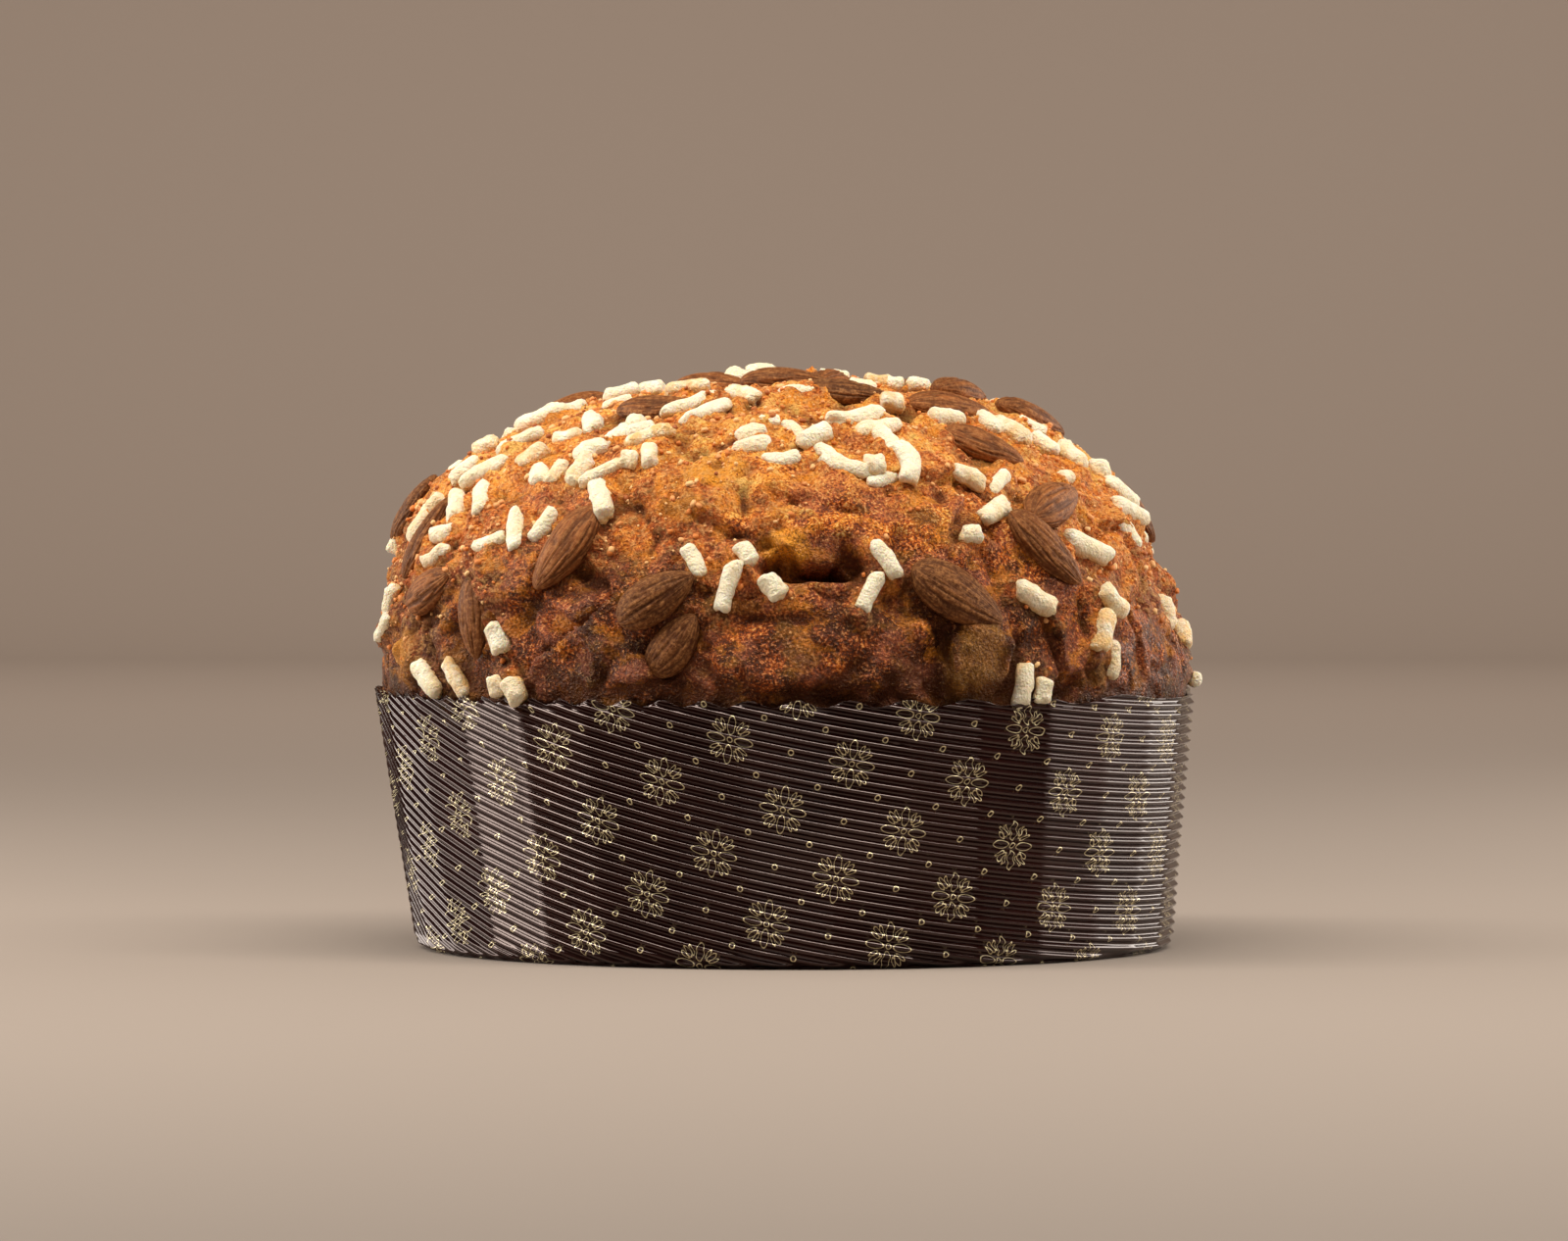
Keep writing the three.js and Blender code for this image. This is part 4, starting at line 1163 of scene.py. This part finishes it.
def almond_shape(number, row):
    """Rings along the kernel. Half width = (1 - place^2)^0.56 * (1 - 0.2 * place), so one end is
    blunt and one pointed. Grooves lie where noise, drawn out along the kernel, is near zero."""
    (place_on,), (along,), (beside,), (out,) = topping_axes(row[None])
    _, _, _, length, width, sunk = row
    thickness = width * ALMOND_FLATNESS
    middle = place_on + out * (standing_lift(place_on[None])[0] + thickness * (0.5 - sunk))
    place = -np.cos(np.linspace(END_ANGLE, np.pi - END_ANGLE, ALMOND_RINGS))
    share = (1 - place ** 2) ** ALMOND_BLUNTNESS * (1 - ALMOND_TAPER * place)
    angle = np.linspace(0, 2 * np.pi, ALMOND_SIDES, endpoint=False)
    drawn_out = place[:, None] * length * RIDGE_STRETCH
    skin_place = np.broadcast_arrays(np.cos(angle) * width / 2, np.sin(angle) * width / 2, drawn_out)
    skin_place = np.stack(skin_place, axis=-1)
    line = layers(skin_place, (1, RIDGE_SIZE, number), (0.35, RIDGE_SIZE / 2, number + 40))
    groove = smooth_step(-np.abs(line), -0.32, 0) * (1 - np.abs(place) ** 6)[:, None]
    swell = 1 + SWELL * noise(skin_place, SWELL_SIZE, number + 80)
    swelled = share[:, None] * swell / 2
    wide = np.maximum(THINNEST, swelled * width - RIDGE_DEPTH * groove)
    high = np.maximum(THINNEST, swelled * thickness - RIDGE_DEPTH * groove)
    bow = BOW * (1 - place ** 2) * np.sin(number * 1.7)
    points = middle + along * (place * length / 2)[:, None, None]
    points = points + beside * (np.cos(angle) * wide + bow[:, None])[..., None]
    points = points + out * (np.sin(angle) * high)[..., None]
    tips = [middle - along * length / 2, middle + along * length / 2]
    return points, tips, groove, place, angle


def add_almond(number, row, material):
    """One kernel as its own piece, with its place along and round it kept for the skin's streaks."""
    points, tips, groove, place, angle = almond_shape(number, row)
    flat = points.reshape(-1, 3)
    faces = grid_faces(ALMOND_RINGS, ALMOND_SIDES, wrap=True).tolist()
    faces += end_fans(ALMOND_RINGS, ALMOND_SIDES).tolist()
    piece = add_piece(f"kernel_{number:02d}", np.concatenate([flat, tips]), faces, material)
    add_shade(piece, "groove", np.append(groove, [0, 0]))
    along_uv = np.repeat(place, ALMOND_SIDES)
    shift = STREAK_SHIFT * number
    round_uv = np.tile(np.abs(np.sin(angle / 2)) * 2, ALMOND_RINGS) + shift
    uv = np.stack([np.append(along_uv, [-1, 1]), np.append(round_uv, [shift, shift])], axis=-1)
    add_uv(piece, "kernel", uv)
    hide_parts(f"almond_{number:02d}")
    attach(piece, "root")


DARK_ALMONDS = (5, 6, 11, 18, 22, 25, 28)
SKIN_TONES = (62, 90, 118)
almond_skins = [almond_skin(f"almond_skin_{tone}", tone / 100) for tone in SKIN_TONES]
for number, row in enumerate(almond_rows, start=1):
    add_almond(number, row, almond_skins[0 if number in DARK_ALMONDS else 2 - number % 2])

# The sugar nibs: short blunt rods of pressed white sugar scattered on the wet glaze, which holds
# them and turned yellow where it crept up round them; the yellow on their lower sides is painted shade
# as well. They are lumpy and broken off unevenly.
NIB_SIDES = 16
# Nibs higher up than these heights are sunk a little into the crust, and those below aren't.
NIBS_SINK = (74, 84)
# Where the rings of points of half a nib stand, close together towards its end.
NIB_END = (0.22, 0.45, 0.66, 0.82, 0.93, 0.985)
NIB_PLACE = np.array([*(-place for place in NIB_END[::-1]), 0, *NIB_END])
NIB_SHARE = (1 - np.abs(NIB_PLACE) ** 9) ** (1 / 2.2)


def rod_bodies(rows, width, place, share, sides, lift, bend):
    """Closed rods, all at once: ring k of a rod stands at place[k] of its half length, its radius
    share[k] of the full one, and bend * (place^2 - 1/3) to one side."""
    point, along, beside, out = topping_axes(rows)
    middle = point + out * (lift + width * 0.5)[:, None]
    angle = np.linspace(0, 2 * np.pi, sides, endpoint=False)
    half = along * (rows[:, 3] / 2)[:, None]
    radius = (width / 2)[:, None, None]
    aside = np.cos(angle) * share[:, None] * radius + (bend[:, None] * (place ** 2 - 1 / 3))[..., None]
    outwards = np.sin(angle) * share[:, None] * radius
    points = middle[:, None, None] + half[:, None, None] * place[:, None, None]
    points = points + beside[:, None, None] * aside[..., None]
    points = points + out[:, None, None] * outwards[..., None]
    end_shift = beside * (bend * 2 / 3)[:, None]
    tips = np.stack([middle - half + end_shift, middle + half + end_shift], axis=1)
    return np.concatenate([points.reshape(len(rows), -1, 3), tips], axis=1)


def rod_faces(count, rings, sides):
    """Quads and end triangles of count rods laid out as rod_bodies does."""
    shift = np.arange(count)[:, None, None] * (rings * sides + 2)
    quads = grid_faces(rings, sides, wrap=True) + shift
    ends = end_fans(rings, sides) + shift
    return quads.reshape(-1, 4).tolist() + ends.reshape(-1, 3).tolist()


YELLOW_SUGAR = (0.84, 0.72, 0.48, 1)
WHITE_SUGAR = (0.93, 0.87, 0.70, 1)
CARAMEL = (0.78, 0.43, 0.11, 1)


def pearl_sugar():
    """Opaque cream-white sugar, caramel-yellow where it melted into the glaze; on the lower side of
    each nib the yellow is painted shade as well.
    """
    body = {"Roughness": 0.6, "Specular IOR Level": 0.3}
    body |= {"Subsurface Weight": 0.35, "Subsurface Radius": (0.003, 0.002, 0.001)}
    material, shader = new_material("pearl_sugar", body)
    start = Wire(material.node_tree)
    blotch = start.noise(3.0, detail=4.0, roughness=0.6)
    # Yellow on each nib's lower side: melted glaze, and painted shade.
    melt_and_underside_shade = start.attribute("low").between(0.3, 0.72) * blotch.between(0.25, 0.55)
    caramel = (melt_and_underside_shade + start.attribute("toast") * blotch.between(0.36, 0.58)).clamped()
    cream = start.noise(5.0).between(0.3, 0.7).mix(YELLOW_SUGAR, WHITE_SUGAR)
    (caramel * 0.8).mix(cream, CARAMEL).into(shader, "Base Color")
    (start.noise(0.7) + 1.3 * start.noise(1.7, detail=2.0)).bump(shader, 0.9, 0.8)
    return material


nib_places = dome_place(nib_rows[:, 0], nib_rows[:, 1])
nib_sink = nib_width * chance.uniform(0.08, 0.32, len(nib_rows))
nib_sink = nib_sink * smooth_step(nib_places[:, 2], *NIBS_SINK)
nib_lift = standing_lift(nib_places) - nib_sink
nib_points = rod_bodies(nib_rows, nib_width, NIB_PLACE, NIB_SHARE, NIB_SIDES, nib_lift, nib_bend)
nib_middles = nib_points.mean(axis=1, keepdims=True)
lumpy = layers(nib_points, (0.17, 3.1, 51), (0.11, 1.6, 52), (0.05, 0.9, 53))
nib_points = nib_middles + (nib_points - nib_middles) * (1 + lumpy[..., None])
_, _, _, nib_out = topping_axes(nib_rows)
# How far down its nib a point lies; the material paints it yellow there, for the glaze and as painted
# shade.
nib_low = 0.5 - ((nib_points - nib_middles) * nib_out[:, None]).sum(axis=-1) / nib_width[:, None]
nib_faces = rod_faces(len(nib_rows), len(NIB_PLACE), NIB_SIDES)
nibs = add_piece("sugar_nibs", nib_points, nib_faces, pearl_sugar())
add_shade(nibs, "low", np.clip(nib_low, 0, 1))
add_shade(nibs, "toast", np.repeat(chance.uniform(0, 1, len(nib_rows)) ** 3, nib_points.shape[1]))
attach(nibs, "root")

# The crumbs of glaze: broken bits of baked almond glaze and sugar, stuck all over the crumbled top.
# They are drawn all over the crust, and only those that fall where glaze lies are kept.
CRUMB_TRIES = 12000
CRUMB_SIDES = 5
CRUMB_PLACE = np.array([-0.6, 0.5])
CRUMB_SHARE = np.array([0.85, 1.0])
SMALLEST_CRUMB = 0.5
CRUMB_RANGE = 1.3
CRUMB_SINK = 0.35
CRUMB_COVER = 0.62
ORANGE_CRUMB = (0.66, 0.2, 0.035, 1)
PALE_CRUMB = (0.88, 0.55, 0.24, 1)
BROWN_CRUMB = (0.34, 0.09, 0.022, 1)


def crumb_glaze():
    """Baked glaze crumbs from caramel to pale beige, each of one tone."""
    material, shader = new_material("crumb_glaze", {"Roughness": 0.6, "Specular IOR Level": 0.4})
    tone = Wire(material.node_tree).attribute("tone")
    pale = tone.between(0.4, 1.0).mix(ORANGE_CRUMB, PALE_CRUMB)
    tone.between(0.25, 0.0).mix(pale, BROWN_CRUMB).into(shader, "Base Color")
    return material


crumb_azimuth = chance.uniform(0, 360, CRUMB_TRIES)
crumb_down = np.degrees(np.arccos(1 - chance.uniform(0, 1, CRUMB_TRIES) * 1.02))
crumb_turn = chance.uniform(-90, 90, CRUMB_TRIES)
crumb_size = SMALLEST_CRUMB + CRUMB_RANGE * chance.uniform(0, 1, CRUMB_TRIES) ** 3
crumb_length = crumb_size * chance.uniform(0.9, 1.7, CRUMB_TRIES)
crumb_rows = np.stack([crumb_azimuth, crumb_down, crumb_turn, crumb_length], axis=-1)
crumb_on, crumb_frost, _ = crust_shape(crumb_azimuth, crumb_down)
crumb_plain, _, _, crumb_out = dome_frame(crumb_azimuth, crumb_down)
kept_crumbs = crumb_frost * CRUMB_COVER > chance.uniform(0, 1, CRUMB_TRIES)
crumb_rows = crumb_rows[kept_crumbs]
crumb_size = crumb_size[kept_crumbs]
crumb_lift = ((crumb_on - crumb_plain) * crumb_out).sum(axis=-1)[kept_crumbs] - crumb_size * CRUMB_SINK
crumb_ring = (CRUMB_PLACE, CRUMB_SHARE, CRUMB_SIDES)
crumb_points = rod_bodies(crumb_rows, crumb_size, *crumb_ring, crumb_lift, np.zeros(len(crumb_rows)))
crumb_faces = rod_faces(len(crumb_rows), len(CRUMB_PLACE), CRUMB_SIDES)
crumbs = add_piece("glaze_crumbs", crumb_points, crumb_faces, crumb_glaze())
add_shade(crumbs, "tone", np.repeat(chance.uniform(0, 1, len(crumb_rows)), crumb_points.shape[1]))
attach(crumbs, "root")
